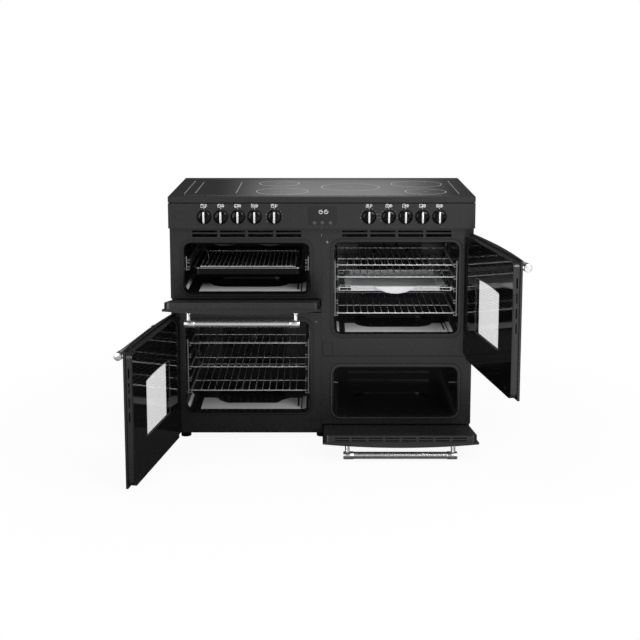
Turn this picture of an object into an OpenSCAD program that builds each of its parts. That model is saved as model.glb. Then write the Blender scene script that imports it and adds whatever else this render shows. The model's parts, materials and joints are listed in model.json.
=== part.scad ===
// Free-standing electric range cooker: four ovens, an induction hob and a
// fascia with ten knobs. Millimetres, X to the right as seen from the front,
// Y into the cabinet, Z up. The origin lies on the floor, midway across, in
// the plane of the cabinet front. The doors are drawn open, as they stand.

/* [Cabinet] */
// Width over the side panels
cooker_w = 1100; // [1000:10:1200]
// Height of the hob surface above the floor
hob_h = 910; // [900:5:940]
// Depth of the hob from its front edge to its back edge
hob_d = 590; // [580:5:640]
// How far the hob and fascia stand in front of the cabinet
fascia_out = 36; // [34:1:44]
// How far the hob overhangs the back panel
back_overhang = 8; // [4:1:20]
// Height of the cabinet's lower edge above the floor
body_lift = 24; // [22:1:34]
// Thickness of the casing sheet
sheet = 2; // [1.5:0.5:2.5]
// Depth of the bent return down each side of the front
return_d = 34; // [33:1:60]
// Height of the upturned edges of the base tray
tray_edge = 18; // [10:1:30]

/* [Hob] */
// Height of the hob trim's front face
trim_h = 20; // [16:1:26]
// Dark gap between the hob trim and the fascia
trim_gap = 4; // [3:1:6]
// Border of the trim in front of the glass
glass_front = 44; // [36:1:60]
// Border of the trim behind the glass
glass_rear = 75; // [50:1:90]
// Border of the trim at each end of the glass
glass_side = 45; // [35:1:60]
// Thickness of the hob glass
glass_t = 5; // [4:0.5:6]
// Width of the ledge that carries the glass
ledge_w = 10; // [8:1:14]
// Thickness of an induction coil
coil_t = 8; // [6:1:10]
// Depth of the tray that holds the coils
coil_tray_d = 22; // [18:1:30]

/* [Fascia] */
// Height of the control fascia
fascia_h = 90; // [84:1:100]
// Height of the knob axes above the fascia's lower edge
knob_up = 42; // [38:1:46]
// Diameter of a knob's base
knob_d = 53; // [44:1:56]
// Height of a knob's base
knob_base_t = 9; // [6:0.5:12]
// Width of a knob's grip bar
grip_w = 8.5; // [6:0.5:12]
// Height of the grip bar above the knob's base
grip_t = 15; // [10:0.5:20]
// Gap between the fascia and the knobs
knob_gap = 0.6; // [0.4:0.1:1.5]
// Radius of the knob spindle
spindle_r = 3; // [2.5:0.25:4]
// Length of a switch body behind the fascia
switch_d = 26; // [20:1:28]
// Width of a switch body
switch_w = 28; // [20:1:34]
// Radius of a switch's threaded neck
neck_r = 8; // [6:0.5:9]
// Length of a switch's threaded neck
neck_l = 4; // [3:0.5:6]
// Width of the display glass
display_w = 99; // [80:1:110]
// Height of the display glass
display_h = 65; // [50:1:70]
// How far the display sits to the right of the middle
display_off = 2.5; // [0:0.5:5]
// Length of one vent slot in the cabinet front
vent_l = 91; // [70:1:92]
// Pitch of the vent slots
vent_pitch = 101; // [96:1:104]

/* [Doors] */
// Distance from the fascia's lower edge to the upper doors' top edge
door_drop = 24; // [22:1:30]
// How far the lower doors reach below the cabinet's lower edge
door_skirt = 11; // [8:1:12]
// Top edge of the lower left door
left_split = 476; // [450:1:490]
// Top edge of the lower right door
right_split = 306; // [296:1:330]
// Gap between the lower and upper doors on the right
door_gap = 4; // [3:1:6]
// Gap below the upper left door, in which its heel turns
heel_gap = 11; // [10:1:16]
// Gap between the left and right doors
seam_gap = 6; // [5:0.5:8]
// How far the doors stop short of the cabinet's sides
door_edge_in = 1; // [0.5:0.5:3]
// Gap between the closed doors and the cabinet front
back_gap = 4; // [4:0.5:6]
// Thickness of a door at its edges
door_t = 30; // [29:1:34]
// How far the door's outer skin bows out at its middle
bow = 12; // [6:1:13]
// Depth of the outer skin's rim at the door's edges
skin_rim = 7; // [6:0.5:9]
// How far the inner frame stands in from the skin's edges
frame_inset = 5; // [4:0.5:7]
// Radius of the inner frame's corners
frame_r = 20; // [12:1:26]
// Thickness of the sheet of the doors
door_sheet = 2; // [1.5:0.25:2.5]
// Thickness of each door glass
door_glass = 4; // [3:0.5:5]
// Width of the window in a side-hinged door
window_w = 400; // [300:5:410]
// Height of the window at its corners
window_h = 226; // [150:1:240]
// Rise of the window's arched top
window_rise = 16; // [8:1:24]
// Height of the window's lower edge above the door's
window_up = 93; // [80:1:150]
// Length of a cooling slot in a drop-down door's top edge
edge_slot_l = 50; // [30:1:54]
// Length of a cooling slot in a side-hinged door's free edge
side_slot_l = 33; // [20:1:40]

/* [Hinges] */
// Opening angle of the side-hinged doors
side_open = 99.8; // [90:0.1:100]
// Opening angle of the drop-down doors
drop_open = 80; // [75:0.5:82]
// Distance of the side hinge pins from the door's edge
side_pin_in = 14.5; // [14:0.5:16]
// Distance of the side hinge pins in front of the cabinet
side_pin_out = 19; // [19:0.5:20]
// Height of the drop-down pins above the door's lower edge
drop_pin_up = 36; // [30:1:38]
// Distance of the drop-down pins in front of the cabinet
drop_pin_out = 10; // [9:0.5:11]
// Radius of the side hinge pins
side_pin_r = 3.5; // [3:0.25:4]
// Radius of the drop-down hinge pins
drop_pin_r = 3; // [2.5:0.25:3.5]
// Chamfer along the lower outer edge of a drop-down door
heel_cut = 14; // [13:1:18]
// Thickness of the hinge arms
arm_t = 3; // [2:0.5:4]

/* [Handles] */
// Diameter of a handle's bar
bar_d = 25; // [20:0.5:27]
// Length of a handle's bar
bar_l = 400; // [300:5:420]
// Distance between a handle's posts
post_span = 372; // [270:2:380]
// Distance from the cabinet front to the bar's axis on a closed door
bar_out = 78; // [76:1:84]
// Distance of the bar's axis below the door's top edge
bar_down = 40; // [34:1:44]
// Diameter of the collars at the bar's ends
collar_d = 28; // [27:0.5:30]
// Length of a collar
collar_l = 36; // [28:1:44]
// Diameter of a handle's post
post_d = 16; // [10:0.5:18]

/* [Ovens] */
// Distance from the middle of the cooker to an oven's mouth
mouth_seam = 35; // [30:1:45]
// Distance from an oven's mouth to the cabinet's side
mouth_side = 42; // [38:1:50]
// Radius of the mouth's corners
mouth_r = 35; // [24:1:44]
// Height of the upper left mouth above its door's lower edge
grill_sill = 56; // [54:1:64]
// Height of the lower left mouth above its door's lower edge
main_sill = 83; // [70:1:90]
// Height of the upper right mouth above its door's lower edge
tall_sill = 80; // [70:1:90]
// Height of the lower right mouth above its door's lower edge
slow_sill = 67; // [64:1:76]
// Distance from the upper left mouth to its door's top edge
grill_head = 25; // [22:1:30]
// Distance from the lower left mouth to its door's top edge
main_head = 20; // [18:1:28]
// Distance from the upper right mouth to its door's top edge
tall_head = 22; // [18:1:28]
// Distance from the lower right mouth to its door's top edge
slow_head = 22; // [18:1:28]
// Width of the rubber seal round each mouth
seal_w = 3; // [2:0.5:4]
// Gap between a seal and its closed door
seal_gap = 0.4; // [0.3:0.1:1]
// Width of the liner's rolled lip
lip_w = 6; // [5:0.5:9]
// How far the lip stands in front of the cabinet
lip_out = 2; // [1:0.5:2.5]
// Distance from the back of the ovens' inside to the back panel
rear_room = 84; // [76:1:100]
// Thickness of an oven's enamelled wall
liner_t = 2; // [1.5:0.5:2.5]
// Depth of the oval dish stamped in the floor
dish_d = 4; // [2:0.5:6]
// Length of the dish from side to side
dish_l = 290; // [200:5:330]
// Width of the dish from front to back
dish_w = 190; // [140:5:230]
// Radius of the dish's corners
dish_r = 64; // [40:1:68]
// Distance from the cabinet front to the dish
dish_front = 112; // [80:1:140]
// Length of the rounder dish in the main fan oven
round_dish_l = 244; // [200:2:300]
// Width of that dish from front to back
round_dish_w = 260; // [200:5:280]
// Radius of that dish's corners
round_dish_r = 112; // [60:1:120]
// Distance from the cabinet front to that dish
round_dish_front = 57; // [50:1:90]

// Radius of a lamp holder
lamp_r = 14; // [12:0.5:18]
// Length of a lamp holder behind the oven
lamp_l = 34; // [26:1:40]
// Width of the lamp lens round its holder
lens_rim = 6; // [4:0.5:8]
// Thickness of the lamp lens
lens_t = 6; // [4:0.5:8]
// Distance of the lamps from the oven's inner wall
lamp_in = 52; // [45:1:60]
// Distance of the lamps below the oven's roof
lamp_down = 42; // [38:1:50]

/* [Fans] */
// Diameter of an oven fan's wheel
fan_d = 140; // [110:2:150]
// Width of the square fan cover
cover_w = 250; // [230:2:270]
// Depth of the fan cover
cover_d = 40; // [36:1:42]
// Radius of the fan shaft
shaft_r = 4; // [3:0.25:5]
// Diameter of a tubular heating element
element_d = 7; // [5:0.5:8]
// Distance from the slow oven's heating loop to the back of the oven
base_loop_back = 40; // [30:1:60]
// Diameter of a fan motor
motor_d = 76; // [60:1:90]
// Length of a fan motor
motor_l = 56; // [40:1:70]

/* [Shelves] */
// Radius of the rack wires
rack_r = 2.2; // [1.8:0.1:2.6]
// Radius of the rack's upright wires
post_r = 2.6; // [2.5:0.1:3]
// Distance from the oven wall to the runners' axes
rung_in = 14; // [12:0.5:16]
// Height of the lowest shelf above the oven floor
shelf_first = 69.5; // [55:0.5:75]
// Distance from the highest shelf to the oven roof
shelf_top = 92.5; // [80:0.5:110]
// Height of the grill pan's rim as a share of the oven's height
pan_share = 0.4625; // [0.44:0.0025:0.48]
// Radius of the shelves' frame wire
shelf_r = 2.5; // [2:0.1:3]
// Radius of the shelves' deck wires
deck_r = 1.6; // [1.2:0.1:2]
// Distance from a shelf's side to its first deck wire
deck_margin = 35; // [20:1:45]
// Number of deck wires
deck_count = 15; // [9:1:19]
// Distance from the cabinet front to the shelves
shelf_front = 40; // [36:1:60]
// Gap between the back of a shelf and the fan cover
shelf_back = 15; // [10:1:40]
// Running clearance between a shelf and its runners
shelf_gap = 0.3; // [0.25:0.05:0.8]
// How far the tray's shelf hangs below its side rails
tray_drop = 12; // [10:0.5:14]
// Width of the baking tray
tray_w = 327; // [260:1:360]
// How much shorter than its shelf the baking tray is
tray_short = 55; // [30:1:90]
// Height of the baking tray
tray_h = 18; // [14:1:26]
// Width of the rims along the baking tray's sides
tray_rim = 22; // [8:1:24]
// Width of the grill pan
pan_w = 394; // [320:2:400]
// Depth of the grill pan from front to back
pan_l = 360; // [260:5:370]
// Height of the grill pan
pan_h = 24; // [18:1:40]
// Radius of the grill pan's corners
pan_r = 20; // [16:1:30]
// Distance from the cabinet front to the grill pan
pan_front = 40; // [36:1:60]
// Height of the upper grill pan level above the lower one
grill_step = 25; // [22:1:30]
// Thickness of the pans' metal
pan_t = 1.5; // [1:0.25:2]

/* [Feet] */
// Diameter of a foot's pad
foot_d = 38; // [30:1:44]
// Thickness of a foot's pad
foot_t = 10; // [8:1:12]
// Radius of a foot's screw
foot_screw_r = 5; // [4:0.5:6]
// Distance of the feet from the cabinet's sides
foot_side = 43; // [38:1:70]
// Distance of the feet from the front and back of the base
foot_in = 44; // [40:1:80]

/* [Cable inlet] */
// Radius of the bore for the mains cable
cable_r = 9; // [6:0.5:11]
// Length of that bore
gland_l = 30; // [24:1:40]
// Height of the cable inlet's axis above the floor
inlet_up = 130; // [100:5:200]
// Distance of the cable inlet from the cabinet's side
inlet_side = 170; // [120:5:300]
// Width of the terminal box
terminal_w = 120; // [80:5:140]
// Height of the terminal box
terminal_h = 70; // [50:5:90]
// Depth of the terminal box
terminal_d = 44; // [30:1:50]
// Gap between the cable gland and the terminal box
terminal_gap = 5; // [3:1:15]
// Width of the gland's flange
flange_w = 10; // [6:1:14]

/* [Hidden] */

// Smoothness of large and small rounds
$fn = 48;
fine = 24;
bow_fn = 900;
// Overlap that makes a cut pass clean through
over = 1;
// Radial running fit of a pin in its bore
run = 0.05;
// Room left round parts that swing past each other
swing_gap = 3;
// Room left round a piece that sits in a cut-out
fit = 0.3;

half_w = cooker_w / 2;
inlet_x = half_w - inlet_side;
hob_y0 = -fascia_out;
hob_y1 = hob_y0 + hob_d;
back_y = hob_y1 - back_overhang;
oven_d = back_y - sheet - rear_room;
trim_z = hob_h - trim_h;
deck_z = trim_z - trim_gap;
fascia_z = deck_z - fascia_h;
door_top = fascia_z - door_drop;
door_foot = body_lift - door_skirt;
panel_gap = 0.5;
groove_d = 0.8;

// Knob places along the fascia, from the left
knob_row = [169.5, 240, 300, 360.5, 421];
knob_x = concat([for (i = [4 : -1 : 0]) -knob_row[i]], knob_row);
knob_z = fascia_z + knob_up;

// Hob zones: x, distance from the hob's front edge, diameter
zones = [
    [-165, 400, 155], [-146, 160, 190], [109, 287, 220], [367, 383, 195], [384, 152, 150]
];
warm_zone = [-462, -313, 110, 450];

// Ovens: side, door's lower and top edge, sill, head
grill = [-1, left_split + heel_gap, door_top, grill_sill, grill_head];
main = [-1, door_foot, left_split, main_sill, main_head];
tall = [1, right_split + door_gap, door_top, tall_sill, tall_head];
slow = [1, door_foot, right_split, slow_sill, slow_head];
ovens = [grill, main, tall, slow];

function door_lo(c) = c[1];
function door_hi(c) = c[2];
function mouth_lo(c) = c[1] + c[3];
function mouth_hi(c) = c[2] - c[4];
function floor_z(c) = mouth_lo(c) + seal_w + lip_w;
function roof_z(c) = mouth_hi(c) - seal_w - lip_w;
function level_pitch(c) = (roof_z(c) - floor_z(c) - shelf_first - shelf_top) / 4;
function level_z(c, n) = floor_z(c) + shelf_first + n * level_pitch(c);

door_x0 = seam_gap / 2;
door_x1 = half_w - door_edge_in;
door_mid = (door_x0 + door_x1) / 2;
mouth_x0 = mouth_seam;
mouth_x1 = half_w - mouth_side;
oven_x0 = mouth_x0 + seal_w + lip_w;
oven_x1 = mouth_x1 - seal_w - lip_w;
oven_mid = (mouth_x0 + mouth_x1) / 2;
oven_r = mouth_r - seal_w - lip_w;

post_x = [door_mid - post_span / 2, door_mid + post_span / 2];

// Planes of a closed door, counted along Y
door_in = -back_gap;
door_out = door_in - door_t;
skin_back = door_out + skin_rim;
side_pin_x = door_x1 - side_pin_in;
frame_x0 = door_x0 + frame_inset;
frame_x1 = door_x1 - frame_inset;

// Pocket in the cabinet front in which a drop-down door's heel turns
heel_reach = drop_pin_out - back_gap;
heel_r = sqrt(heel_reach * heel_reach + drop_pin_up * drop_pin_up);
pocket_d = heel_r - drop_pin_out + swing_gap;

// Notch in a side-hinged door's corners for its hinge arms
notch_h = 12;
notch_w = 34;
arm_r = side_pin_r + 3;
drop_arm_h = drop_pin_r + 3;
drop_arm_x = [door_x0 + 29, door_x1 - 29];
block_w = arm_t + 18;
catch_r = 4.5;

shelf_d = oven_d - cover_d - shelf_front - shelf_back;
tray_l = shelf_d - tray_short;
rung_x = [oven_x0 + rung_in, oven_x1 - rung_in];
rail_x = [rung_x[0] + 1.5, rung_x[1] - 1.5];
rung_dz = shelf_r + rack_r + shelf_gap;
rack_y0 = 28;
rack_y1 = oven_d - 40;
rack_wall = 4.5;
// How far the racks' uprights pass the lowest and the highest level
rack_low = 4;
rack_high = 14;
peg_in = 120;
peg_l = 18;
peg_r = 3;
peg_z = (floor_z(slow) + roof_z(slow)) / 2;
link_r = rack_r - 0.4;
cross_r = shelf_r - 0.3;
deck_up = shelf_r + deck_r - 1.2;
hang_in = 6;
// How far the tray shelf's deck starts behind its front wire
deck_back = 34;
// Place of the middle cross wire as a share of a shelf's depth
mid_wire = 0.36;

// Fascia vents: how far below the fascia each row starts, its height
vent_rows = [[20, 7], [37, 11]];
// Holes in the back panel: wall fixing screws and louvres
wall_hole_x = 100;
wall_hole_r = 3.25;
wall_hole_down = 60;
louvre = [50, 8];
louvre_pitch = [80, 30];
louvre_down = 150;
gland_wall = 4;
nut_t = 7;
nut_wall = 4.5;
// Hob frame: its skirt's inset and wall, and the ledge under the glass
skirt_in = 12;
skirt_t = 10;
ledge_t = 3;
// Coil tray: wall, hole in a coil's middle, first winding, pitch and width
coil_wall = 1.5;
coil_hole_r = 12;
winding_r0 = 20;
winding_pitch = 10;
winding_w = 3.5;
// Display: how far it stands out, its rear lip and the depth of its box
display_proud = 0.8;
display_r = 3;
display_lip = 4;
display_lip_t = 2;
display_box_d = 14;
// Knob: flat rim, step to its face, how much shorter the grip is
knob_rim_t = 3;
knob_step = 2.5;
grip_short = 9;
spindle_end = 8;
// Slots in the fan cover: first angle, inner radius, outer radius, width
cover_t = 1.5;
cover_r = 24;
cover_slots = [[0, 22, 58, 6], [15, 84, 104, 8]];
// Fan wheel and the bar that carries its motor
hub_r = 12;
hub_l = 24;
blade_w = 18;
blade_t = 2;
motor_bar = [100, 28, 6];
motor_foot_r = 5;
motor_foot_l = 4;
motor_foot_x = 44;
// Raised frame on the slow oven's rear wall: inset, width, height
boss_in = 34;
boss_w = 12;
boss_t = 3;
boss_r = 24;
// How far an element's ends pass the oven's rear wall
stub_out = 24;
// Cooling slots in the doors: distance of their rows from the door's inner
// face, pitch, width
top_slot_rows = [9, 18];
top_slot_pitch = 58.6;
top_slot_w = 3.4;
edge_slot_pitch = 49;
edge_slot_w = 5;
pin_block_h = 30;
// How far the outer window pane and its carrier pass the window's edge
window_lap = 12;

module on_side(s) {
    if (s < 0) mirror([1, 0, 0]) children();
    else children();
}

module slab_y(y0, y1) {
    translate([0, y1, 0]) rotate([90, 0, 0]) linear_extrude(y1 - y0) children();
}

module block(x0, x1, y0, y1, z0, z1) {
    translate([x0, y0, z0]) cube([x1 - x0, y1 - y0, z1 - z0]);
}

module round_rect(x0, z0, x1, z1, r) {
    translate([x0 + r, z0]) square([x1 - x0 - 2 * r, z1 - z0]);
    translate([x0, z0 + r]) square([x1 - x0, z1 - z0 - 2 * r]);
    for (x = [x0 + r, x1 - r])
        for (z = [z0 + r, z1 - r])
            translate([x, z]) circle(r = r);
}

module stadium(l, w) {
    square([l - w, w], center = true);
    for (s = [-1, 1]) translate([s * (l - w) / 2, 0]) circle(d = w);
}

module rod_x(x0, x1, y, z, r) {
    translate([x0, y, z]) rotate([0, 90, 0]) cylinder(r = r, h = x1 - x0);
}

module rod_y(x, y0, y1, z, r) {
    translate([x, y0, z]) rotate([-90, 0, 0]) cylinder(r = r, h = y1 - y0);
}

module rod_z(x, y, z0, z1, r) {
    translate([x, y, z0]) cylinder(r = r, h = z1 - z0);
}

// ---- Cabinet

module side_panels() {
    color("#1b1b1c")
        for (s = [-1, 1])
            on_side(s) block(half_w - sheet, half_w, return_d, back_y - sheet, body_lift, deck_z);
}

module back_panel() {
    color("#6e7072") difference() {
        block(-half_w, half_w, back_y - sheet, back_y, body_lift, deck_z);
        rod_y(inlet_x, back_y - sheet - over, back_y + over, inlet_up, cable_r + gland_wall + 1);
        for (x = [-wall_hole_x, wall_hole_x])
            rod_y(x, back_y - sheet - over, back_y + over, deck_z - wall_hole_down, wall_hole_r);
        for (i = [-5 : 5])
            for (j = [0 : 2])
                slab_y(back_y - sheet - over, back_y + over)
                    translate([i * louvre_pitch[0], deck_z - louvre_down - j * louvre_pitch[1]])
                        stadium(louvre[0], louvre[1]);
    }
}

module base_tray() {
    y0 = return_d;
    y1 = back_y - sheet;
    x1 = half_w - sheet;
    color("#6e7072") difference() {
        block(-x1, x1, y0, y1, body_lift, body_lift + tray_edge);
        block(-x1 - over, x1 + over, y0 + sheet, y1 - sheet, body_lift + sheet, body_lift + tray_edge + over);
        for (p = foot_places())
            rod_z(p[0], p[1], body_lift - over, body_lift + sheet + over, foot_screw_r + 0.5);
    }
}

function foot_places() = [
    for (x = [-half_w + foot_side, 0, half_w - foot_side])
        for (y = [foot_in, back_y - foot_in])
            [x, y]
];

module adjustable_feet() {
    color("#161616") for (p = foot_places()) {
        rod_z(p[0], p[1], 0, foot_t, foot_d / 2);
        rod_z(p[0], p[1], foot_t, body_lift + tray_edge, foot_screw_r);
        translate([p[0], p[1], body_lift - nut_t]) cylinder(r = foot_screw_r + nut_wall, h = nut_t, $fn = 6);
    }
}

module vents() {
    for (row = vent_rows)
        for (i = [-1.5 : 1 : 1.5])
            translate([oven_mid + i * vent_pitch - vent_l / 2, fascia_z - row[0]]) square([vent_l, row[1]]);
}

// One half of the cabinet's front, with the two mouths and the heel pocket
module front_half(upper, lower, drop) {
    pin_z = door_lo(drop) + drop_pin_up;
    pocket_z0 = door_lo(drop) - heel_gap + sheet;
    pocket_z1 = pin_z + heel_reach + swing_gap;
    x0 = panel_gap / 2;
    difference() {
        union() {
            slab_y(0, sheet) difference() {
                translate([x0, body_lift]) square([half_w - x0, deck_z - body_lift]);
                for (c = [upper, lower]) mouth_2d(c, 0);
                vents();
            }
            block(half_w - sheet, half_w, 0, return_d, body_lift, deck_z);
            block(x0, half_w, 0, pocket_d + sheet, max(pocket_z0 - sheet, body_lift), pocket_z1 + sheet);
        }
        block(x0 + sheet, half_w + over, -over, pocket_d, pocket_z0, pocket_z1);
    }
}

module left_front() {
    color("#2b2b2c") on_side(-1) front_half(grill, main, grill);
}

module right_front() {
    groove_z = door_lo(tall) + 6;
    color("#333334") difference() {
        front_half(tall, slow, slow);
        block(0, half_w + over, -over, groove_d, groove_z, groove_z + sheet);
    }
}

// ---- Ovens

module mouth_2d(c, inset) {
    round_rect(mouth_x0 + inset, mouth_lo(c) + inset, mouth_x1 - inset, mouth_hi(c) - inset, mouth_r - inset);
}

// The stamped dish: length, width, corner radius, distance from the front
oval_dish = [dish_l, dish_w, dish_r, dish_front];
round_dish = [round_dish_l, round_dish_w, round_dish_r, round_dish_front];

module dish_2d(d, grow) {
    x = d[0] / 2 + grow;
    round_rect(oven_mid - x, d[3] - grow, oven_mid + x, d[3] + d[1] + grow, d[2] + grow);
}

function fan_z(c) = (floor_z(c) + roof_z(c)) / 2;
lamp_x = oven_x0 + lamp_in;
function lamp_z(c) = roof_z(c) - lamp_down;
stub_x = 22;
stub_r = element_d / 2;

module liner(c, fan, dish) {
    f = floor_z(c);
    difference() {
        union() {
            slab_y(-lip_out, sheet) difference() {
                mouth_2d(c, seal_w);
                mouth_2d(c, seal_w + lip_w);
            }
            slab_y(0, oven_d + liner_t) mouth_2d(c, seal_w + lip_w - liner_t);
            translate([0, 0, f - dish_d - liner_t]) linear_extrude(dish_d + liner_t) dish_2d(dish, liner_t);
        }
        slab_y(-lip_out - over, oven_d) mouth_2d(c, seal_w + lip_w);
        translate([0, 0, f - dish_d]) linear_extrude(dish_d + over) dish_2d(dish, 0);
        rod_y(lamp_x, oven_d - over, oven_d + liner_t + over, lamp_z(c), lamp_r + fit);
        if (fan) {
            rod_y(oven_mid, oven_d - over, oven_d + liner_t + over, fan_z(c), shaft_r + 4);
            for (s = [-1, 1]) rod_y(oven_mid + s * stub_x, oven_d - over, oven_d + liner_t + over,
                stub_z(c), stub_r + fit);
        }
    }
}

// Raised panel on the rear wall of an oven without a fan
module rear_boss(c) {
    m = boss_in;
    n = boss_in + boss_w;
    slab_y(oven_d - boss_t, oven_d) difference() {
        round_rect(oven_x0 + m, floor_z(c) + m, oven_x1 - m, roof_z(c) - boss_w, boss_r);
        round_rect(oven_x0 + n, floor_z(c) + n, oven_x1 - n, roof_z(c) - 2 * boss_w, boss_r - boss_w + 2);
        translate([lamp_x, lamp_z(c)]) circle(r = lamp_r + 2 * lens_rim);
    }
}

module grill_liner() {
    color("#0c0c0d") on_side(-1) difference() {
        liner(grill, false, oval_dish);
        for (x = grill_bar_x) rod_y(x, oven_d - over, oven_d + liner_t + over, grill_bar_z(), stub_r + fit);
    }
}

module main_liner() {
    color("#0c0c0d") on_side(-1) liner(main, true, round_dish);
}

module tall_liner() {
    color("#0c0c0d") liner(tall, true, oval_dish);
}

module slow_liner() {
    color("#0c0c0d") {
        liner(slow, false, oval_dish);
        rear_boss(slow);
    }
}

module door_seals() {
    color("#111111") for (c = ovens)
        on_side(c[0]) slab_y(-back_gap + seal_gap, sheet + 4) difference() {
            mouth_2d(c, 0);
            mouth_2d(c, seal_w);
        }
}

module oven_lamps() {
    color("#d8d4c4") for (c = ovens)
        on_side(c[0]) {
            rod_y(lamp_x, oven_d, oven_d + lamp_l, lamp_z(c), lamp_r);
            rod_y(lamp_x, oven_d - lens_t, oven_d, lamp_z(c), lamp_r + lens_rim);
        }
}

// ---- Fans and elements

function ring_r() = fan_d / 2 + 16;
function stub_z(c) = fan_z(c) + sqrt(ring_r() * ring_r() - stub_x * stub_x);
fan_ovens = [main, tall];
fan_y = oven_d - cover_d / 2;

module ring_element(c) {
    translate([oven_mid, fan_y, fan_z(c)]) rotate([90, 0, 0]) rotate_extrude()
        translate([ring_r(), 0]) circle(d = element_d, $fn = fine);
    for (s = [-1, 1]) rod_y(oven_mid + s * stub_x, fan_y, oven_d + stub_out, stub_z(c), stub_r - 0.5);
}

grill_bar_x = [for (i = [-1.5 : 1 : 1.5]) oven_mid + i * 84];
function grill_bar_z() = roof_z(grill) - 16;

module grill_element() {
    y0 = 90;
    bend = (grill_bar_x[1] - grill_bar_x[0]) / 2;
    for (x = grill_bar_x) rod_y(x, y0, oven_d + stub_out, grill_bar_z(), stub_r);
    for (i = [0, 2])
        translate([grill_bar_x[i] + bend, y0, grill_bar_z()]) rotate([0, 0, 180])
            rotate_extrude(angle = 180) translate([bend, 0]) circle(r = stub_r, $fn = fine);
}

module slow_element() {
    z = floor_z(slow) - dish_d - liner_t - stub_r - fit;
    r = dish_w * 0.35;
    y0 = dish_front + r;
    for (s = [-1, 1]) rod_y(oven_mid + s * r, y0, oven_d - base_loop_back, z, stub_r);
    translate([oven_mid, y0, z]) rotate([0, 0, 180])
        rotate_extrude(angle = 180) translate([r, 0]) circle(r = stub_r, $fn = fine);
}

module heating_elements() {
    color("#5b5650") {
        on_side(-1) grill_element();
        for (c = fan_ovens) on_side(c[0]) ring_element(c);
        slow_element();
    }
}

module fan_cover(c) {
    m = cover_w / 2;
    n = m - cover_t;
    z = fan_z(c);
    y0 = oven_d - cover_d;
    difference() {
        slab_y(y0, oven_d) round_rect(oven_mid - m, z - m, oven_mid + m, z + m, cover_r);
        slab_y(y0 + cover_t, oven_d + over)
            round_rect(oven_mid - n, z - n, oven_mid + n, z + n, cover_r - cover_t);
        for (row = cover_slots)
            for (a = [row[0] : 30 : row[0] + 330])
                translate([oven_mid, 0, z]) rotate([0, a, 0])
                    block(-row[3] / 2, row[3] / 2, y0 - over, y0 + cover_t + over, row[1], row[2]);
    }
}

module fan_covers() {
    color("#141415") for (c = fan_ovens) on_side(c[0]) fan_cover(c);
}

module fan_wheel(c) {
    z = fan_z(c);
    disc_y = fan_y + hub_l / 2 - 2 * blade_t;
    rod_y(oven_mid, fan_y - hub_l / 2, fan_y + hub_l / 2, z, hub_r);
    rod_y(oven_mid, disc_y, disc_y + blade_t, z, fan_d / 2);
    rod_y(oven_mid, fan_y + hub_l / 2, oven_d + liner_t + motor_l * 0.7, z, shaft_r);
    for (a = [0 : 45 : 315])
        translate([oven_mid, 0, z]) rotate([0, a, 0])
            block(-blade_t / 2, blade_t / 2, disc_y - blade_w, disc_y + blade_t / 2, hub_r - 1, fan_d / 2 - 1);
}

module fan_motor(c) {
    y0 = oven_d + liner_t;
    y1 = y0 + motor_foot_l;
    difference() {
        union() {
            rod_y(oven_mid, y1 + motor_bar[2], y0 + motor_l, fan_z(c), motor_d / 2);
            block(oven_mid - motor_bar[0] / 2, oven_mid + motor_bar[0] / 2, y1, y1 + motor_bar[2],
                fan_z(c) - motor_bar[1] / 2, fan_z(c) + motor_bar[1] / 2);
            for (s = [-1, 1]) rod_y(oven_mid + s * motor_foot_x, y0, y1, fan_z(c), motor_foot_r);
        }
        rod_y(oven_mid, y0 - over, y0 + motor_l * 0.8, fan_z(c), shaft_r + run);
    }
}

module fan_motors() {
    color("#8c8f92") for (c = fan_ovens) on_side(c[0]) fan_motor(c);
}

// ---- Racks and shelves

module rack(x_wall, dir, levels, z0, z1) {
    xw = x_wall + dir * rack_wall;
    xr = x_wall + dir * rung_in;
    for (y = [rack_y0, rack_y1]) {
        rod_z(xw, y, z0, z1, post_r);
        for (z = [z0 + 6, z1 - 6])
            rod_x(min(x_wall, xw), max(x_wall, xw), y, z, link_r);
    }
    for (z = levels)
        for (s = [-1, 1]) {
            zz = z + s * rung_dz;
            rod_y(xr, rack_y0 - rack_r, rack_y1 + rack_r, zz, rack_r);
            for (y = [rack_y0, rack_y1]) rod_x(min(xw, xr), max(xw, xr), y, zz, link_r);
        }
}

module rack_pair(c, levels) {
    lo = min(levels) - rung_dz - rack_low;
    hi = max(levels) + rung_dz + rack_high;
    rack(oven_x0, 1, levels, lo, hi);
    rack(oven_x1, -1, levels, lo, hi);
}

function pan_rail_z() = floor_z(grill) + pan_share * (roof_z(grill) - floor_z(grill));
trivet_r = 2;
trivet_deck_r = 1.3;
trivet_wires = 20;
trivet_side = 24;
trivet_end = 12;
trivet_up = 3;
trivet_leg_in = 30;
function pan_level() = pan_rail_z() - pan_t - shelf_gap + shelf_r + shelf_gap;

module shelf_runners() {
    color("#c9cbcd") {
        on_side(-1) rack_pair(grill, [pan_level(), pan_level() + grill_step]);
        for (c = fan_ovens) on_side(c[0]) rack_pair(c, [for (n = [0 : 4]) level_z(c, n)]);
        for (y = [peg_in, oven_d - peg_in])
            for (x = [oven_x0, oven_x1 - peg_l]) rod_x(x, x + peg_l, y, peg_z, peg_r);
    }
}

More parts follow.
